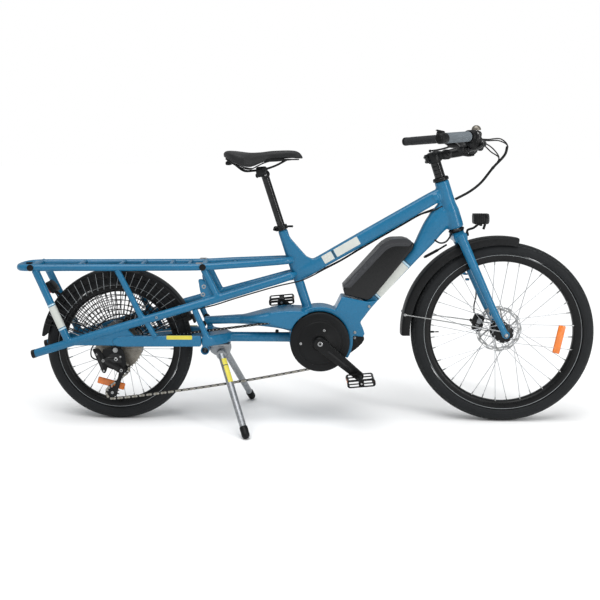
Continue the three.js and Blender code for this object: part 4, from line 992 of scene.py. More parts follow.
post = Piece("seatpost_visual")
head = seat(-196)
post.add(GLOSS_PLASTIC, tube([seat(118), head], 13.55, n=48))
post.add(BLACK_PAINT, disc((head.x + 2, 0, head.z + 5), 14.5, 16.6, edge=3, n=36),
    block((head.x - 13, 0, head.z + 3), (40, 30, 14), 4, about_y(7)),
    block((head.x - 12, 0, head.z + 17), (38, 48, 30), 8, about_y(4), 3))
post.add(STEEL, *[tube([(head.x + dx, 0, head.z - 8), (head.x + dx, 0, head.z + 24)], 2.6, n=12) for dx in (-27, 8)],
    lathe([(0, -18.4), (5, -18.4), (5, 18.4), (0, 18.4)], (head.x + 2, 0, head.z + 5), n=16))
post.make("seat", "black_metal", "seatpost")


def saddle_half(x):
    """Half the saddle's width at x: wide behind, then a long nose."""
    t = (x - 374) / 274
    wide = 71 * math.sin(math.pi * min(1, (t + 0.012) / 0.31) / 2) ** 0.62 if t < 0.3 else 71
    if t > 0.2:
        s = min(1, (t - 0.2) / 0.42)
        wide -= 50 * (s * s * (3 - 2 * s))
    if t > 0.88:
        wide *= max(0.0, 1 - ((t - 0.88) / 0.12) ** 2) ** 0.5
    return max(wide, 1.2)


def between(x, table):
    """The height at x on the straight lines between the points (x, height) of a table."""
    for (x0, z0), (x1, z1) in zip(table, table[1:]):
        if x <= x1:
            return z0 + (z1 - z0) * max(0.0, (x - x0) / (x1 - x0))
    return table[-1][1]


# The pad's outline from the side, above and below.
SADDLE_TOP = catmull([(374, 928), (385, 936), (434, 930), (468, 926), (502, 927), (537, 931), (571, 933), (606, 933),
    (626, 930), (639, 922), (648, 908)])
SADDLE_LOW = catmull([(374, 914), (386, 899), (403, 888), (426, 876), (454, 867), (472, 866), (489, 874), (510, 884),
    (540, 893), (582, 896), (648, 896)])


def saddle_heights(x):
    """The heights of the pad's top and of its lower edge at x."""
    return between(x, SADDLE_TOP), between(x, SADDLE_LOW)


pad = Piece("saddle_pad")
PAD_ROWS, PAD_AROUND = 45, 40
verts = []
for i in range(PAD_ROWS):
    x = 375 + 272 * (0.5 - 0.5 * math.cos(math.pi * i / (PAD_ROWS - 1)))
    half, (top, low) = saddle_half(x), saddle_heights(x)
    middle, tall = (top + low) / 2, (top - low) / 2
    for k in range(PAD_AROUND):
        a = 2 * math.pi * k / PAD_AROUND
        c, s = math.cos(a), math.sin(a)
        y = half * math.copysign(abs(c) ** 0.75, c)
        z = middle + tall * math.copysign(abs(s) ** 0.6, s)
        if s < 0:
            z += 0.8 * (middle - z) * (1 - (abs(y) / half) ** 2)
        verts.append(Vector((x, y, z)))
pad.add(LEATHER, (verts, skin(PAD_ROWS, PAD_AROUND)))
cushion = pad.make("seat", "saddle_cover", "saddle")
melted(cushion, 5, 2)


CLOTH_FRAMES = 20
HELD_BAND = 0.006        # metres at the pad's foot that the cloth simulation holds still


def stuffed(made, furthest):
    """Lets the padding press the cover out from inside, and caps how far any point moves."""
    before = [v.co.copy() for v in made.data.vertices]
    cloth = made.modifiers.new("stuffing", "CLOTH")
    settings = cloth.settings
    settings.use_pressure = True
    settings.uniform_pressure_force = 4
    settings.effector_weights.gravity = 0
    settings.tension_stiffness = settings.compression_stiffness = 25
    settings.bending_stiffness = 2
    cloth.collision_settings.use_self_collision = False
    pins = made.vertex_groups.new(name="held")
    low = min(v.co.z for v in made.data.vertices)
    pins.add([v.index for v in made.data.vertices if v.co.z < low + HELD_BAND], 1.0, "REPLACE")
    settings.vertex_group_mass = "held"
    scene = bpy.context.scene
    scene.frame_start, scene.frame_end = 1, CLOTH_FRAMES
    cloth.point_cache.frame_start, cloth.point_cache.frame_end = 1, CLOTH_FRAMES
    for number in range(1, CLOTH_FRAMES + 1):
        scene.frame_set(number)
    mesh = bpy.data.meshes.new_from_object(made.evaluated_get(bpy.context.evaluated_depsgraph_get()))
    made.modifiers.clear()
    made.data = mesh
    scene.frame_set(1)
    for vertex, was in zip(mesh.vertices, before):
        step = vertex.co - was
        if step.length > furthest:
            vertex.co = was + step.normalized() * furthest
    finer = made.modifiers.new("finer", "SUBSURF")
    finer.levels = finer.render_levels = 1
    mesh.shade_smooth()


stuffed(cushion, 0.0025)

under = Piece("saddle_base")
SADDLE_RAIL = [(400, 22, 903), (420, 22, 884), (446, 22, 866), (476, 22, 866), (520, 22, 872), (556, 20, 884),
    (592, 14, 903)]
for side in SIDES:
    under.add(BLACK_PAINT, tube(to_side(SADDLE_RAIL, side), 3.6, n=14))
edge = []
for side, order in ((RIGHT, 1), (LEFT, -1)):
    run = [Vector((x, side * (saddle_half(x) - 2.6), saddle_heights(x)[1] + 7)) for x in range(384, 640, 8)]
    edge += run[::order]
under.add(BLACK_PLASTIC, sweep(edge, circle(2.2, 10), closed=True))
base = [(386, 900), (396, 892), (560, 897), (610, 901), (600, 906), (392, 906)]
under.add(BLACK_PLASTIC, slab(filleted(base, 4), -26, 26, 3, 3))
under.add(BLACK_PLASTIC, block((392, 0, 893), (20, 60, 14), 5), block((430, 0, 893), (10, 84, 8), 3))
under.make("seat", "saddle_cover")

# ------------------------------------------------------------------ motor, cranks, pedals and battery

motor = Piece("motor_unit_visual")
bulge = [(758, 318), (800, 312), (836, 306), (851, 296), (852, 284), (838, 266), (804, 240), (786, 228), (740, 212),
    (690, 240), (700, 300)]
motor.add(MOTOR_BLACK, lathe([(12.6, -44), (88, -44), (95, -42), (97.6, -38), (97.6, 40), (94, 45), (88, 45.8),
    (12.6, 45.8)], (700, 0, 285), n=96, closed=True))
motor.add(MOTOR_BLACK, slab(filleted(bulge, 8), -37, 37, 5, 4))
for k in range(4):
    motor.add(MOTOR_BLACK, slab(filleted([(800 + 9 * k, 246 + 8 * k), (806 + 9 * k, 250 + 8 * k),
        (806 + 5 * k, 296), (799 + 5 * k, 296)], 2), -38.4, 38.4, 1, 1))
motor.add(BLACK_PLASTIC, lathe([(58, 45), (64, 45), (64, 46), (58, 46)], (700, 0, 285), n=64, closed=True))
motor.add(STEEL, *[hex_bolt(polar(*MOTOR, 80, 60 * k + 10, 45.2), Y_AXIS, 4.4, 2) for k in range(6)],
    hex_bolt((819, -37, 293), -Y_AXIS, 4.2, 2), hex_bolt((819, 37, 293), Y_AXIS, 4.2, 2))
motor.make("frame", "black_plastic", "motor_unit")

CRANK_ANGLE, CRANK_LENGTH = -40, 170
ARM = Vector((math.cos(math.radians(CRANK_ANGLE)), 0, math.sin(math.radians(CRANK_ANGLE))))


def crank(side, name):
    hub = Vector((BB[0], side * 83, BB[1]))
    out = ARM * (CRANK_LENGTH if side == RIGHT else -CRANK_LENGTH)
    across = Vector((-ARM.z, 0, ARM.x))
    eye = hub + out
    outline = []
    for end, r, start in ((eye, 15.5, -90), (hub, 22, 90)):
        for k in range(13):
            a = math.radians(start + 15 * k)
            p = end + out.normalized() * (r * math.cos(a)) + across * (r * math.sin(a))
            outline.append((p.x, p.z))
    arm = Piece(name + "_crank_visual")
    arm.add(BLACK_PAINT, slab(outline, side * 78.6, side * 91, 3.4, 4))
    rib = [hub + out * t + across * w for t, w in ((0.2, 5), (0.8, 3.6), (0.8, -3.6), (0.2, -5))]
    arm.add(GLOSS_PLASTIC, slab(filleted([(p.x, p.z) for p in rib], 3), side * 90, side * 91.9, 0.8, 2))
    arm.add(BLACK_PAINT, lathe([(0, 74), (18.6, 74), (18.6, 80), (0, 80)], (hub.x, 0, hub.z), Y_AXIS * side, 40))
    arm.add(STEEL, hex_bolt((hub.x, side * 89.6, hub.z), Y_AXIS * side, 8.4, 2.3))
    arm.add(BLACK_PAINT, disc((eye.x, side * 85, eye.z), 15, 6.8, n=40, edge=2.4))
    arm.add(STEEL, lathe([(0, 78), (3.9, 78), (3.9, 178), (3, 180), (0, 180)], (eye.x, 0, eye.z), Y_AXIS * side, 20),
        disc((eye.x, side * 94, eye.z), 7.4, 1.8, n=6, edge=0.5))
    if side == RIGHT:
        arm.add(STEEL, lathe([(0, -73.4), (9.8, -73.4), (9.8, 79), (0, 79)], (hub.x, 0, hub.z), n=32))
    arm.make("crank", "black_metal", name + "_crank")


crank(RIGHT, "right")
crank(LEFT, "left")

ring = Piece("chainring_guard_visual")
ring.add(BLACK_PAINT, gear(BB, 42, pitch_radius(42) - 5.3, pitch_radius(42) + 2.2, CHAIN_Y - 1.2, CHAIN_Y + 1.2, 62))
for k in range(5):
    a = 72 * k + 20
    ring.add(BLACK_PAINT, sweep([polar(*BB, 16, a, -57), polar(*BB, 68, a, -56)], rounded(16, 4, 1.4, 3), up=Y_AXIS))
guard = [(10.4, -56), (10.4, -71), (26, -71), (27, -70.2), (68, -69.4), (70.5, -68.6), (71.5, -67.4), (88, -66.2),
    (96, -64.6), (99.6, -63), (101, -61.6), (100.4, -60.2), (98, -60), (60, -62), (40, -60), (38, -56)]
ring.add(BLACK_PLASTIC, lathe(guard + guard[:1], (BB[0], 0, BB[1]), n=128))
for r, a in ((44, 70), (65, 183)):
    ring.add(STEEL, hex_bolt(polar(*BB, r, a, -69.2), -Y_AXIS, 4.4, 1.6))
ring.add(GLOSS_PLASTIC, torus((BB[0], -67.6, BB[1]), 78, 0.8, n=96, m=6),
    torus((BB[0], -70.6, BB[1]), 30, 0.8, n=64, m=6))
ring.make("crank", "black_plastic", "chainring_guard")


def pedal(side, name):
    out = ARM * (CRANK_LENGTH if side == RIGHT else -CRANK_LENGTH)
    centre = Vector((BB[0] + out.x, side * 137, BB[1] + out.z))
    turn = about_y(5)

    def placed(shape):
        return moved(shape, centre, turn)

    made = Piece(name + "_pedal_visual")
    frame_line = filleted([(-44, -6), (-40, -10), (40, -10), (44, -6), (44, 6), (40, 10), (-40, 10), (-44, 6)], 3)
    for y in (side * 38, side * -38):
        rim = sweep([Vector((x, y, z)) for x, z in frame_line], rounded(4.4, 4, 1, 2), up=Y_AXIS, closed=True)
        made.add(BLACK_PLASTIC, placed(rim))
        made.add(BLACK_PLASTIC, placed(block((0, y, 0), (86, 4, 4), 1.2)), placed(block((0, y, 0), (18, 4, 20), 1.4)))
    for x, z in ((-41, 8), (41, 8), (-41, -8), (41, -8)):
        made.add(BLACK_PLASTIC, placed(block((x, 0, z), (6, 76, 4), 1.2)))
        made.add(STEEL, *[placed(disc((x, 12 * j, z + (2 if z > 0 else -2)), 1.5, 1.2, Z_AXIS, 0.4, 8))
            for j in (-2, -1, 1, 2)])
    made.add(ORANGE, *[placed(block((x, 0, 0), (3, 46, 7), 1)) for x in (-44, 44)])
    barrel = [(4.4, -40), (7, -40), (8.4, -36), (7, -28), (7, 28), (8.4, 36), (7, 40), (4.4, 40)]
    made.add(BLACK_PLASTIC, placed(lathe(barrel + barrel[:1], (0, 0, 0), n=28)))
    made.add(BLACK_PLASTIC, *[placed(block((0, 0, z), (12, 76, 4), 1.4)) for z in (7.4, -7.4)])
    made.make(name + "_pedal", "black_plastic", name + "_pedal")


pedal(RIGHT, "right")
pedal(LEFT, "left")

pack = Piece("battery_visual")
low_side = [(780, 464), (785, 440, 6), (864, 420, 6), (884, 436, 8), (1018, 598, 10), (1021, 616, 6), (1006, 624, 6),
    (946, 626, 8), (928, 616, 8), (908, 600, 10)]
high_side = [(778, 466), (792, 464), (806, 466, 6), (926, 594, 10), (950, 606, 10), (1004, 606, 6), (1014, 618, 6),
    (1008, 627, 4), (988, 633, 6), (946, 632, 8), (926, 623, 8), (909, 610, 10)]
pack.add(GLOSS_PLASTIC, slab(filleted(low_side, 6), -38.5, 38.5, 7, 5))
pack.add(SHELL_GREY, slab(filleted(high_side, 6), -39.6, 39.6, 4, 5))
for side in SIDES:
    ridge = [(797, 472), (921, 603), (946, 614), (1002, 614)]
    pack.add(SHELL_GREY, tube([(x, side * 39.2, z) for x, z in ridge], 1.2, n=8))
pack.add(BLACK_PLASTIC, disc((966, 38.6, 580), 8, 1.2, n=24))
pack.add(STEEL, lathe([(2.2, -1), (4.6, -1), (4.6, 0.6), (2.2, 0.6)], (966, 39.4, 580), n=20, closed=True))
pack.make("battery", "battery_case", "battery")

# ------------------------------------------------------------------ fenders, guards, light and brakes


def fender(name, body, x, z, outer, start, end, skirt, tail, extra):
    """A channel round the wheel, with a rolled edge and a rib down its middle."""
    half = 32.6
    across = [(-half, -skirt), (-half, -9), (-31, -4.6), (-27, -1.8), (-18, -0.4), (-6, -0.2), (-4, 0), (4, 0),
        (6, -0.2), (18, -0.4), (27, -1.8), (31, -4.6), (half, -9), (half, -skirt)]
    inside = [(y * 0.945, min(drop - 1.8, -2)) if abs(y) < 32 else (math.copysign(30.8, y), drop)
        for y, drop in across]
    section = across + inside[::-1]
    steps = 84
    verts = []
    for i in range(steps + 1):
        a = start + (end - start) * i / steps
        short = 1 - 0.55 * max(0, (a - end + tail) / tail) if tail else 1
        verts += [polar(x, z, outer + drop * (short if drop < -9 else 1), a, y) for y, drop in section]
    made = Piece(name + "_fender_visual")
    made.add(BLACK_PLASTIC, (verts, skin(steps + 1, len(section))))
    for side in SIDES:
        last = end - tail
        run = [polar(x, z, outer - skirt + 1, start + (last - start) * i / 60, side * 31.8) for i in range(61)]
        made.add(GLOSS_PLASTIC, sweep(run, circle(1.5, 8)))
    extra(made)
    made.make(body, "black_plastic", name + "_fender")


def front_extras(made):
    for side in SIDES:
        made.add(STEEL, tube([(990, side * 34, 371), (1090, side * 42, 356), (1200, side * 55, 339),
            (1300, side * 66, 322)], 2.0, n=10, per=6))
        made.add(STEEL, disc((990, side * 34, 371), 5, 1.6, n=16))
    made.add(STEEL, tube([(1196, 0, 616), (1204, 0, 606), (1216, 0, 596)], 5, n=10))


def rear_extras(made):
    for side in SIDES:
        made.add(BLACK_PAINT, tube([(-258, side * 34, 340), (-200, side * 44, 330), (-130, side * 64, 316)], 2, n=10))
    made.add(BLACK_PLASTIC, block((262, 0, 352), (30, 26, 8), 2, about_y(-68)))


fender("front", "steering", 1310, 304, 332, 79, 181, 28, 0, front_extras)
fender("rear", "frame", *REAR, 275, 20, 172, 26, 3, rear_extras)

NET_START, NET_SPAN = 24, 134        # degrees round the rear wheel
NET_INNER, NET_OUTER = 100, 268
for side, name in NAMED_SIDES:
    net = Piece(name + "_skirt_guard_visual")
    y = side * 39.5
    for r in (NET_INNER, NET_OUTER):
        bow = [polar(*REAR, r, NET_START + NET_SPAN * k / 24, y) for k in range(25)]
        net.add(BLACK_PLASTIC, tube(bow, 2.2, n=10, per=2))
    for a in (NET_START, NET_START + NET_SPAN):
        net.add(BLACK_PLASTIC, tube([polar(*REAR, 99, a, y), polar(*REAR, 268, a, y)], 2.2, n=10))
    for k in range(1, 24):
        a = NET_START + NET_SPAN * k / 24
        net.add(RUBBER, tube([polar(*REAR, NET_INNER, a, y), polar(*REAR, NET_OUTER, a, y)], 1.6, n=6))
    for r in (117, 134, 151, 168, 185, 202, 224, 246):
        bow = [polar(*REAR, r, NET_START + NET_SPAN * k / 16, y) for k in range(17)]
        net.add(RUBBER, tube(bow, 1.5, n=6, per=2))
    for k in range(22):
        a = 28 + 126 * k / 21
        stripe = [polar(*REAR, 208, a + 2, y + side * 2), polar(*REAR, 266, a, y + side * 2)]
        net.add(PALE_HIGHLIGHT_AND_STRIPE, tube(stripe, 0.8, n=5))
    net.make("frame", "black_plastic", name + "_skirt_guard")

lamp = Piece("rear_light_visual")


def on_lamp(shape):
    return moved(shape, (-236, 0, 464), about_y(40))


lamp.add(BLACK_PLASTIC, on_lamp(block((0, 0, 0), (14, 70, 44), 5)))
lamp.add(RED, on_lamp(block((-8, 0, 2), (8, 64, 34), 3.4)))
lamp.add(ORANGE, on_lamp(block((-11, 0, -12), (3, 40, 6), 1.2)))
lamp.add(BLACK_PLASTIC, block((-222, 0, 446), (44, 12, 8), 2, about_y(-40)),
    on_lamp(block((7, 0, 2), (10, 44, 30), 3)),
    *[on_lamp(block((0, 16 * k, 22.5), (10, 3, 4), 1)) for k in (-2, -1, 0, 1, 2)],
    tube([(-228, -20, 452), (-214, -26, 440), (-206, -34, 424), (-204, -40, 404)], 2.2, n=10))
lamp.make("frame", "red_lens", "rear_light")


def caliper(name, body, x, z, y, degrees):
    """Two halves with pistons either side of the rotor, bridged outside its edge."""
    turn = about_y(degrees - 90)
    made = Piece(name + "_caliper_visual")

    def placed(shape):
        return moved(shape, polar(x, z, 72, degrees, y), turn)

    for half in SIDES:
        made.add(BLACK_PAINT, placed(block((0, half * 6.4, 1), (45, 6.8, 30), 3)))
        made.add(SILVER, placed(disc((0, half * 9.4, 0), 9.4, 0.7, n=32, edge=0.5)))
        for k in range(5):
            made.add(BLACK_PAINT, placed(block((-14 + 7 * k, half * 4.6, 15.4), (2.4, 8, 6), 0.8)))
    made.add(BLACK_PAINT, placed(block((0, 0, 17), (38, 18, 10), 2.6)), placed(block((-20, 7, -4), (30, 9, 36), 5)),
        placed(block((-24, -7, 2), (24, 7, 26), 3)), placed(tube([(-12, 7, 18), (-8, 12, 27)], 5, n=16)))
    made.add(SILVER, *[placed(block((-24 + 8 * k, -10.4, 3), (2.4, 1.4, 12), 0.5)) for k in range(5)])
    made.add(STEEL, *[placed(hex_bolt((dx, 0, 21.4), Z_AXIS, 3.6, 1.6)) for dx in (-13, 13)])
    made.make(body, "black_metal", name + "_caliper")


caliper("rear", "frame", *REAR, 50, 60)
caliper("front", "steering", *FRONT, 40, 157.5)

# ------------------------------------------------------------------ centre stand

bracket = Piece("stand_bracket_visual")
cheek = filleted([(318, 262), (322, 240), (340, 228), (384, 224), (392, 240), (390, 262)], 7)
bracket.add(SILVER, block((352, 0, 263), (76, 60, 11), 3), *[slab(cheek, s * 20, s * 29, 2.4, 3) for s in SIDES],
    lathe([(9.8, -33.6), (16, -33.6), (17, -32), (17, -14), (15, -12), (15, 12), (17, 14), (17, 32),
           (16, 33.6), (9.8, 33.6)], (362, 0, 236), n=40, closed=True))
bracket.add(STEEL, *[hex_bolt((x, s * 20, 257.6), -Z_AXIS, 5, 3) for x in (332, 378) for s in SIDES],
    lathe([(0, 0), (5, 0), (5, 8), (0, 8)], (354, 0, 262), Z_AXIS, 20))
bracket.make("frame", "silver_metal", "stand_bracket")

stand = Piece("centre_stand_visual")
stand.add(STEEL, lathe([(0, -51.6), (8.3, -51.6), (8.3, 51.6), (0, 51.6)], (362, 0, 236), n=24))
for side in SIDES:
    top, foot = Vector((362, side * 47, 236)), Vector((452, side * 212, 14))
    stand.add(SILVER, tube([top, foot], 12.4, n=32, size=lambda t: 1 - 0.1 * t))
    stand.add(SILVER, disc((362, side * 45.2, 236), 16.8, 10.4, n=40, edge=2.4))
    stand.add(STEEL, hex_bolt((362, side * 54, 236), Y_AXIS * side, 7.4, 2))
    boot = [(0, 13.4)]
    boot += [(13.4 * math.cos(math.radians(t)), 13.4 * math.sin(math.radians(t))) for t in range(80, -1, -16)]
    boot += [(13.4, -1), (13.2, -26), (12, -28), (0, -28)]
    stand.add(BLACK_PLASTIC, lathe(boot, foot, foot - top, 36))
    for up_leg, r, thick in ((25, 13.1, 0.7), (18, 13.2, 0.8)):
        stand.add(BLACK_PLASTIC, torus(foot + (top - foot).normalized() * up_leg, r, thick, foot - top, 36, 8))
near_leg = Vector((362, -47, 236)), Vector((452, -212, 14))
down = (near_leg[1] - near_leg[0]).normalized()
face = (Vector((0.5, -1, 0)) - down * down.dot(Vector((0.5, -1, 0)))).normalized()
sticker = [(math.cos(math.radians(a)), math.sin(math.radians(a))) for a in range(-46, 47, 8)]
for start, end, material in ((0.07, 0.37, YELLOW), (0.15, 0.16, DARK_LINE)):
    verts, faces = [], []
    for t in (start, end):
        p, r = near_leg[0].lerp(near_leg[1], t), 12.4 * (1 - 0.1 * t)
        for lift in (0.2, 0.5) if material is YELLOW else (0.4, 0.7):
            verts += [p + face * ((r + lift) * c) + down.cross(face) * ((r + lift) * w) for c, w in sticker]
    m = len(sticker)
    for k in range(m - 1):
        faces += [(k, k + 1, 2 * m + k + 1, 2 * m + k), (m + k, 3 * m + k, 3 * m + k + 1, m + k + 1),
            (k, m + k, m + k + 1, k + 1), (2 * m + k, 2 * m + k + 1, 3 * m + k + 1, 3 * m + k)]
    faces += [(0, 2 * m, 3 * m, m), (m - 1, 2 * m - 1, 4 * m - 1, 3 * m - 1)]
    stand.add(material, (verts, faces))
stand.make("stand", "silver_metal", "centre_stand")

# ------------------------------------------------------------------ fork, stem and handlebar

fork = Piece("fork_visual")
crown_turn = toward(STEER_FORWARD, STEER_AXIS)
fork.add(BLUE, moved(block((0, 0, 0), (46, 106, 30), 11, steps=4), steer(-30), crown_turn),
    sweep([steer(-40), steer(-11.4)], circle(23.4, 36)))
for side in SIDES:
    top, end = Vector((1171, side * 47, 646)), Vector((1320, side * 57, 308))
    run = [top, top.lerp(end, 0.3) + STEER_FORWARD * -2, top.lerp(end, 0.7) + STEER_FORWARD * -3, end]
    fork.add(BLUE, tube(run, 17, n=32, per=10, size=lambda t: 1 - 0.36 * t))
    fork.add(BLUE, disc((FRONT[0], side * 57, FRONT[1]), 13, 6.6, n=32, edge=2))
melted(fork.make("steering", "blue_paint", "fork"), 2.4, 6)
fork_trim = Piece("fork_trim")
fork_trim.add(BLACK_PAINT, lathe([(14.4, 0), (24.2, 0), (25, 1), (24, 2.4), (14.4, 2.4)], steer(-12.6), STEER_AXIS,
    48, closed=True))
fork_trim.add(STEEL, sweep([steer(-10), steer(HEAD_LENGTH + 8)], circle(14.2, 32)),
    lathe([(0, -67.6), (5.8, -67.6), (5.8, 67.6), (0, 67.6)], (FRONT[0], 0, FRONT[1]), n=24))
for side in SIDES:
    fork_trim.add(BLACK_PAINT, disc((FRONT[0], side * 64.6, FRONT[1]), 8, 1.6, n=24, edge=0.8))
    fork_trim.add(STEEL, hex_bolt((FRONT[0], side * 65.8, FRONT[1]), Y_AXIS * side, 5, 1.8))
fork_trim.make("steering", "blue_paint")

STEM_HINGE, BAR_CENTRE = (1134, 0, 915), (1212, 0, 933)
stem = Piece("stem_visual")
cap = [(14.6, 0.8), (26.4, 0.8), (27, 2), (27, 9), (25, 12), (19, 14), (14.6, 14)]
stem.add(BLACK_PAINT, lathe(cap + cap[:1], steer(HEAD_LENGTH), STEER_AXIS, 64))
for k in range(4):
    low = 14.4 + 13.2 * k
    ring_ = [(0, low), (16.8, low), (17.8, low + 1), (17.8, low + 11.6), (16.8, low + 12.6), (0, low + 12.6)]
    stem.add(GLOSS_PLASTIC, lathe(ring_, steer(HEAD_LENGTH), STEER_AXIS, 48))
stem.add(BLACK_PAINT, *[torus(steer(HEAD_LENGTH + 13.9 + 13.2 * k), 17, 0.7, STEER_AXIS, 48, 6) for k in range(5)])
block_ = [(0, 67), (22, 67), (23, 68.5), (23, 96), (22, 100), (17, 103), (0, 103.6)]
stem.add(BLACK_PAINT, lathe(block_, steer(HEAD_LENGTH), STEER_AXIS, 48))
stem.add(BLACK_PAINT, moved(block((0, 0, 0), (16, 20, 30), 4), steer(HEAD_LENGTH + 86, -23), crown_turn))
for up_ in (76, 92):
    screw = [(0, -14), (3, -14), (4.8, -13), (4.8, -9), (3, -8.6), (3, 9), (5, 9.2), (5, 12), (0, 12)]
    stem.add(BLACK_PAINT, lathe(screw, steer(HEAD_LENGTH + up_, -28), Y_AXIS, 20))
stem.add(BLACK_PAINT, disc(STEM_HINGE, 17, 19.6, n=48, edge=3),
    block((1112, 0, 913), (48, 34, 28), 6, about_y(-6), 3))
stem.add(GLOSS_PLASTIC, *[disc((1134, s * 19.4, 915), 12, 1, n=40, edge=0.7) for s in SIDES])
stem.add(BLACK_PAINT, *[hex_bolt((1134, s * 19.6, 915), Y_AXIS * s, 6, 2) for s in SIDES])
stem.add(BLACK_PAINT, tube([STEM_HINGE, (1170, 0, 922), (1203, 0, 931)], 15, n=32,
                      size=lambda t: 0.95 + 0.28 * t, squash=1.05),
    lathe([(16.2, -24), (20.5, -24), (22, -22.4), (22, 22.4), (20.5, 24), (16.2, 24)], BAR_CENTRE, n=48,
          closed=True))
stem.add(STEEL, *[lathe([(0, 0), (3.6, 0), (3.6, 3), (0, 3)], (1231, s * 15, 933 + dz), X_AXIS, 14)
    for s in SIDES for dz in (-9, 9)])
stem.make("steering", "black_metal", "stem")

GRIP_IN, GRIP_OUT = Vector((1150, 255, 971)), Vector((1046, 365, 964))
BAR = [BAR_CENTRE, (1212, 60, 935), (1211, 110, 948), (1203, 160, 963), (1184, 208, 970), tuple(GRIP_IN),
    (1098, 310, 967.5), tuple(GRIP_OUT)]
bars = Piece("handlebar_visual")
bars.add(BLACK_PAINT, tube(to_side(BAR[::-1], RIGHT) + to_side(BAR[1:], LEFT), 11, n=32, per=8),
    lathe([(0, -32), (13, -32), (15.8, -29), (15.8, 29), (13, 32), (0, 32)], BAR_CENTRE, n=40))
bars.make("steering", "black_metal", "handlebar")


def on_grip(side, t):
    p = GRIP_IN.lerp(GRIP_OUT, t)
    return Vector((p.x, side * p.y, p.z))


for side, name in NAMED_SIDES:
    direction = on_grip(side, 1) - on_grip(side, 0)
    length = direction.length
    direction.normalize()
    inner_end = on_grip(side, 0)
    grip = Piece(name + "_grip_visual")
    shape_ = [(12.5, 0), (16.2, 0), (16.4, 2), (15.6, 5), (15.6, length * 0.9), (16.3, length * 0.93),
        (16.3, length * 0.95), (12.5, length * 0.95)]
    if side == RIGHT:
        shape_ = [(12.5, 0), (16.2, 0), (16.4, 2), (15.6, 5), (15.6, length * 0.82), (12.5, length * 0.82)]
    rubber = GRIP if side == RIGHT else DARK_GRIP
    grip.add(rubber, lathe(shape_ + shape_[:1], inner_end, direction, 48))
    for k in range(18):
        groove = [(r, h + 6.4 * k) for r, h in ((15.2, 10), (16.1, 10.8), (16.1, 13), (15.2, 13.8))]
        grip.add(rubber, lathe(groove, inner_end, direction, 48, closed=True))
    if side == RIGHT:
        grip.add(BLACK_PLASTIC, lathe([(12.5, length * 0.82), (16.4, length * 0.83), (16.4, length * 0.95),
            (12.5, length * 0.955)], inner_end, direction, 48, closed=True))
    end = [(0, length * 1.035), (12, length * 1.038), (15.4, length * 1.02), (16.2, length), (16.2, length * 0.96),
        (14, length * 0.955), (0, length * 0.955)]
    grip.add(BLACK_PLASTIC, lathe(end[::-1], inner_end, direction, 48))
    grip.add(BLACK_PAINT, *[torus(inner_end + direction * (length * 1.037), r, 0.8, direction, 40, 6)
        for r in (6, 10)])
    grip.make("steering", "grip_rubber", name + "_grip")

    pod = Piece(name + "_control_visual")
    pod.add(BLACK_PLASTIC, lathe([(12.5, -36), (18, -36), (19.6, -34), (19.6, -24), (17, -22), (17, -18), (19.6, -16),
        (19.6, -6), (18, -4.6), (12.5, -4.6)], inner_end, direction, 40, closed=True))
    pod.add(BLACK_PAINT, tube([(1170, side * 233, 967), (1194, side * 225, 951)], 12, n=28),
        tube([(1188, side * 224, 950), (1200, side * 208, 948), (1214, side * 189, 948)], 12.6, n=28,
             size=lambda t: 1 - 0.16 * t))
    pod.add(STEEL, hex_bolt((1198, side * 236, 955.4), Z_AXIS, 4, 1.6),
        hex_bolt((1180, side * 222, 962), Vector((0.3, 0, 1)), 3.4, 1.8))
    pod.add(RUBBER, tube([(1212, side * 191, 948), (1222, side * 178, 949)], 5, n=14, size=lambda t: 1 - 0.4 * t))
    if side == RIGHT:
        pod.add(BLACK_PLASTIC, tube([(1158, -238, 961), (1168, -230, 948), (1176, -222, 937)], 16.6, n=32))
        pod.add(GLOSS_PLASTIC, disc((1172, -226, 926), 14.4, 5, Vector((0.4, 0.3, -1)), 2.4, 32))
        pod.add(BLACK_PLASTIC, tube([(1164, -246, 951), (1154, -254, 945)], 6, n=16),
            block((1175, -229, 966), (42, 32, 48), 9, about_y(-8), 3),
            block((1190, -214, 944), (38, 30, 32), 9, about_y(-14), 3),
            tube([(1172, -226, 933), (1150, -230, 931), (1126, -236, 934)], 9.5, n=24,
                 size=lambda t: 1.2 - 0.4 * t))
        pod.add(GLOSS_PLASTIC, block((1176, -243, 972), (30, 6, 26), 2.4, about_y(-8)),
            block((1192, -228.6, 946), (26, 4, 20), 1.6, about_y(-14)))
        pod.add(BLACK_PAINT, *[block((1146 + 9 * k, -240, 932), (4, 3, 9), 1) for k in range(3)],
            disc((1136, -238, 934), 9, 7, Z_AXIS, 2, 28))
        pod.add(STEEL, hex_bolt((1184, -246, 981), -Y_AXIS, 3, 1.2), hex_bolt((1199, -230.4, 951), -Y_AXIS, 3, 1.2))
    else:
        pod.add(BLACK_PLASTIC, block((1156, 229, 991), (26, 34, 22), 5, about_y(-14), 3))
        pod.add(GLOSS_PLASTIC, block((1150, 229, 1001), (20, 28, 5), 1.8, about_y(-14)))
    pod.make("steering", "black_plastic", name + "_control")

    pull = Piece(name + "_brake_lever_visual")
    blade = to_side([(1198, 236, 946), (1190, 262, 940), (1166, 300, 932), (1136, 336, 927)], side)
    pull.add(BLACK_PAINT, tube(blade, 5.2, n=20, per=10, squash=0.72, up=Z_AXIS, size=lambda t: 1.1 - 0.25 * t),
        lathe([(0, -6), (11, -6), (12, -5), (12, 5), (11, 6), (0, 6)], (1198, side * 236, 946), Z_AXIS, 32),
        lathe([(0, -5.6), (3.6, -4.6), (5.6, 0), (3.6, 4.6), (0, 5.6)], (1136, side * 336, 927), Z_AXIS, 20))
    pull.make(name + "_brake_lever", "black_metal", name + "_brake_lever")

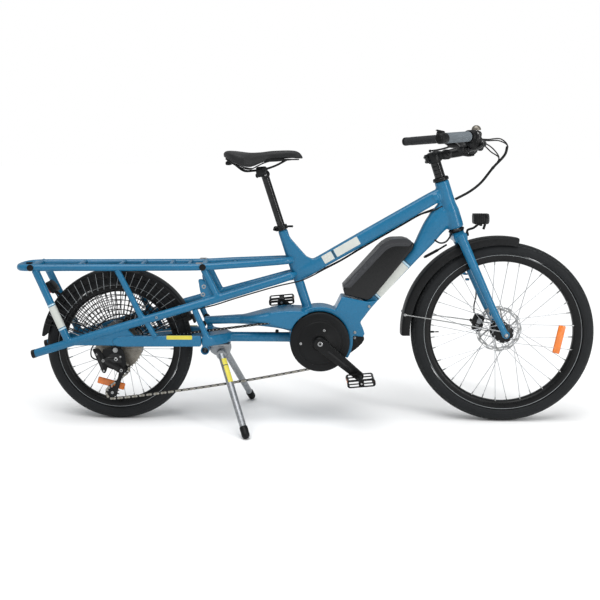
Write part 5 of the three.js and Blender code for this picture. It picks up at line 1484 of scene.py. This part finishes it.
paddle = Piece("shift_lever_visual")
paddle.add(BLACK_PLASTIC, tube([(1178, -216, 914), (1160, -224, 912), (1138, -232, 916)], 3.9, n=16,
    size=lambda t: 0.8 + 0.25 * t))
paddle.make("shift_lever", "black_plastic", "shift_lever")

bell = Piece("bell_visual")
dome = [(0, 14.6)] + [(14.8 * math.sin(math.radians(a)), 14.8 * math.cos(math.radians(a))) for a in range(12, 96, 7)]
dome += [(15, -1), (14, -1.6), (0, -1.6)]
bell.add(COG_STEEL, lathe(dome, (1200, -150, 994), Z_AXIS, 48))
bell.add(BLACK_PLASTIC, tube([(1204, -150, 969), (1200, -150, 991)], 7.4, n=20),
    lathe([(11.4, -6), (14, -6), (14, 6), (11.4, 6)], (1205, -150, 961), Vector((-6, 50, 14)), 28, closed=True))
bell.add(STEEL, hex_bolt((1200, -150, 1007.2), Z_AXIS, 2.4, 1))
bell.make("steering", "silver_metal", "bell")

light = Piece("headlight_visual")
light.add(BLACK_PLASTIC, block((1244, 0, 695), (40, 44, 34), 6, steps=3))
for k in range(5):
    light.add(BLACK_PLASTIC, block((1228 + 7 * k, 0, 695), (2.6, 45.6, 35.6), 1))
light.add(GLOSS_PLASTIC, block((1267, 0, 695), (12, 45, 34), 4, steps=3))
light.add(LENS, disc((1273.4, 0, 695), 14, 2.6, X_AXIS, 1.6, 36))
light.add(SILVER, torus((1275, 0, 695), 15, 1.6, X_AXIS, 36, 8))
light.add(BLACK_PLASTIC, block((1258, 0, 711), (34, 30, 2.4), 1),
    block((1262, 0, 668), (8, 6, 20), 1.6, about_y(-18)))
light.add(BLACK_PAINT, tube([(1204, 0, 640), (1206, 0, 656), (1226, 0, 664), (1246, 0, 680)], 4, n=14, per=8),
    block((1250, 0, 677), (10, 12, 14), 2.6), disc((1206, 0, 644), 8, 3, Vector((1, 0, 0.2)), 1.2, 20))
light.make("steering", "black_plastic", "headlight")

damper = Piece("steering_damper_visual")
damper.add(BLACK_PAINT, tube([(1058, 0, 563), (1096, 0, 583), (1136, 0, 607)], 3.2, n=16, per=8),
    tube([(1062, 0, 565), (1090, 0, 580), (1106, 0, 589)], 4.9, n=18, per=8))
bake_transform(damper.make(None, "black_plastic", "steering_damper"))

# ------------------------------------------------------------------ cables

loop_hose = Piece("lower_hose_loop")
loop_hose.add(RUBBER, tube([(1076, -14, 642), (1092, -18, 625), (1110, -21, 615), (1128, -22, 619), (1141, -22, 634),
    (1149, -22, 652)], 3.0, n=12, per=10))
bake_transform(loop_hose.make(None, "cable_rubber"))

loom = Piece("cable_loom_visual")
loom.add(RUBBER, tube([(1336, -6, 940), (1330, -2, 914), (1290, 0, 868), (1250, 0, 818), (1214, 0, 789),
    (1164, 0, 762)], 4.4, n=16, per=8))
for start in ([(1216, -44, 968), (1262, -34, 964), (1312, -16, 965)],
        [(1216, -38, 966), (1262, -28, 960), (1308, -12, 959)],
        [(1218, -34, 964), (1256, -24, 952), (1290, -10, 930)],
        [(1222, -42, 952), (1252, -30, 944), (1280, -14, 922)]):
    last = [(1337, -6, 942), (1330, -2, 914)] if start[-1][0] > 1300 else [(1309, -4, 900), (1290, 0, 868)]
    loom.add(RUBBER, tube(start + last, 2.2, n=10, per=8))
loom.add(BLACK_PLASTIC, lathe([(4, -4), (5, -4), (5, 4), (4, 4)], (1290, 0, 868), Vector((40, 0, 46)), 16,
    closed=True))
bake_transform(loom.make(None, "cable_rubber", "cable_loom"))

hose = Piece("front_brake_hose_visual")
hose.add(BLUE, torus((1212, 62, 496), 7, 2.4, Z_AXIS, 24, 8), block((1218, 58, 478), (14, 10, 8), 2.4),
    block((1204, 58, 500), (16, 12, 8), 2.4))
hose.add(RUBBER, tube([(1192, 66, 620), (1205, 69, 590), (1232, 70, 530), (1246, 70, 480), (1250, 66, 420),
    (1242, 60, 385), (1240, 50, 362)], 2.4, n=12, per=10))
hose.make("steering", "cable_rubber", "front_brake_hose")

ROUTE = [(1118, 16, 740), (1096, 18, 729), (1074, 16, 721), (1048, 8, 712), (980, 8, 673.6), (912, 8, 635),
    (843, 8, 595), (775, 8, 554), (712, 12, 522), (676, 20, 504), (636, 33, 489), (560, 38, 472), (480, 48, 451),
    (400, 55, 428), (340, 50, 408), (250, 51, 388), (106, 56, 350), (66, 55, 338)]
TO_GEARS = [(0, 57, 322), (-50, 57, 296), (-84, 66, 262), (-84, 74, 234), (-66, 76, 224), (-55, 76, 222)]
wires = Piece("frame_cables_visual")
wires.add(RUBBER, tube(to_side(ROUTE + TO_GEARS, RIGHT), 2.3, n=10), tube(to_side(ROUTE, LEFT), 2.3, n=10))
for x, z in ((980, 673.4), (843, 594.6)):
    wires.add(BLACK_PLASTIC, block((x, 0, z), (8, 23, 3.6), 1.2, about_y(30)))
wires.make("frame", "cable_rubber", "frame_cables")

# ------------------------------------------------------------------ floor, lights and camera

FLOOR_HALF = 60          # metres
floor = bpy.data.meshes.new("floor")
floor.from_pydata([(x * FLOOR_HALF, y * FLOOR_HALF, 0) for x, y in ((-1, -1), (1, -1), (1, 1), (-1, 1))], [],
    [(0, 1, 2, 3)])
ground = bpy.data.objects.new("floor", floor)
bpy.context.scene.collection.objects.link(ground)
plain = bpy.data.materials.new("pale_floor")
plain.use_nodes = True
for socket, value in (("Base Color", (0.95, 0.95, 0.95, 1)), ("Roughness", 1.0), ("Specular IOR Level", 0.0)):
    plain.node_tree.nodes["Principled BSDF"].inputs[socket].default_value = value
floor.materials.append(plain)

# The camera sees a white background, and the bicycle is lit by a dimmer one.
FILL_STRENGTH = 0.42
world = bpy.data.worlds.new("studio")
bpy.context.scene.world = world
world.use_nodes = True
sky = world.node_tree
seen = sky.nodes["Background"]
seen.inputs["Strength"].default_value = 1.0
seen.inputs["Color"].default_value = (1, 1, 1, 1)
lit = sky.nodes.new("ShaderNodeBackground")
lit.inputs["Strength"].default_value = FILL_STRENGTH
lit.inputs["Color"].default_value = (0.97, 0.99, 1, 1)
ray = sky.nodes.new("ShaderNodeLightPath")
either = sky.nodes.new("ShaderNodeMixShader")
sky.links.new(ray.outputs["Is Camera Ray"], either.inputs[0])
sky.links.new(lit.outputs[0], either.inputs[1])
sky.links.new(seen.outputs[0], either.inputs[2])
sky.links.new(either.outputs[0], sky.nodes["World Output"].inputs["Surface"])


def light_from(name, kind, place, aim, power, size):
    data = bpy.data.lights.new(name, kind)
    data.energy = power
    if kind == "SUN":
        data.angle = math.radians(size)
    else:
        data.shape = "RECTANGLE"
        data.size, data.size_y = size
    lamp_ = bpy.data.objects.new(name, data)
    lamp_.location = place
    lamp_.rotation_euler = (Vector(aim) - Vector(place)).to_track_quat("-Z", "Y").to_euler()
    bpy.context.scene.collection.objects.link(lamp_)


light_from("overhead", "SUN", (-0.5, -1.2, 4), (0, 0, 0), 2.3, 50)
light_from("left_strip", "AREA", (-1.8, -2.8, 2.2), (0, 0, 0.5), 6, (0.4, 2.4))
light_from("right_strip", "AREA", (2.6, -2.4, 1.5), (0.2, 0, 0.6), 46, (0.22, 2.8))

camera = bpy.data.cameras.new("camera")
# Fitted to the photograph's view of both wheels.
camera.sensor_width, camera.lens = 36, 48.62
camera.shift_x, camera.shift_y = 0.0917, -0.175
viewer = bpy.data.objects.new("camera", camera)
viewer.location = at(604.7, -2793.0, 930.8)
viewer.rotation_euler = (math.pi / 2 - 0.053, 0.011, 0.056)
bpy.context.scene.collection.objects.link(viewer)
bpy.context.scene.camera = viewer
bpy.context.scene.view_settings.view_transform = "Standard"
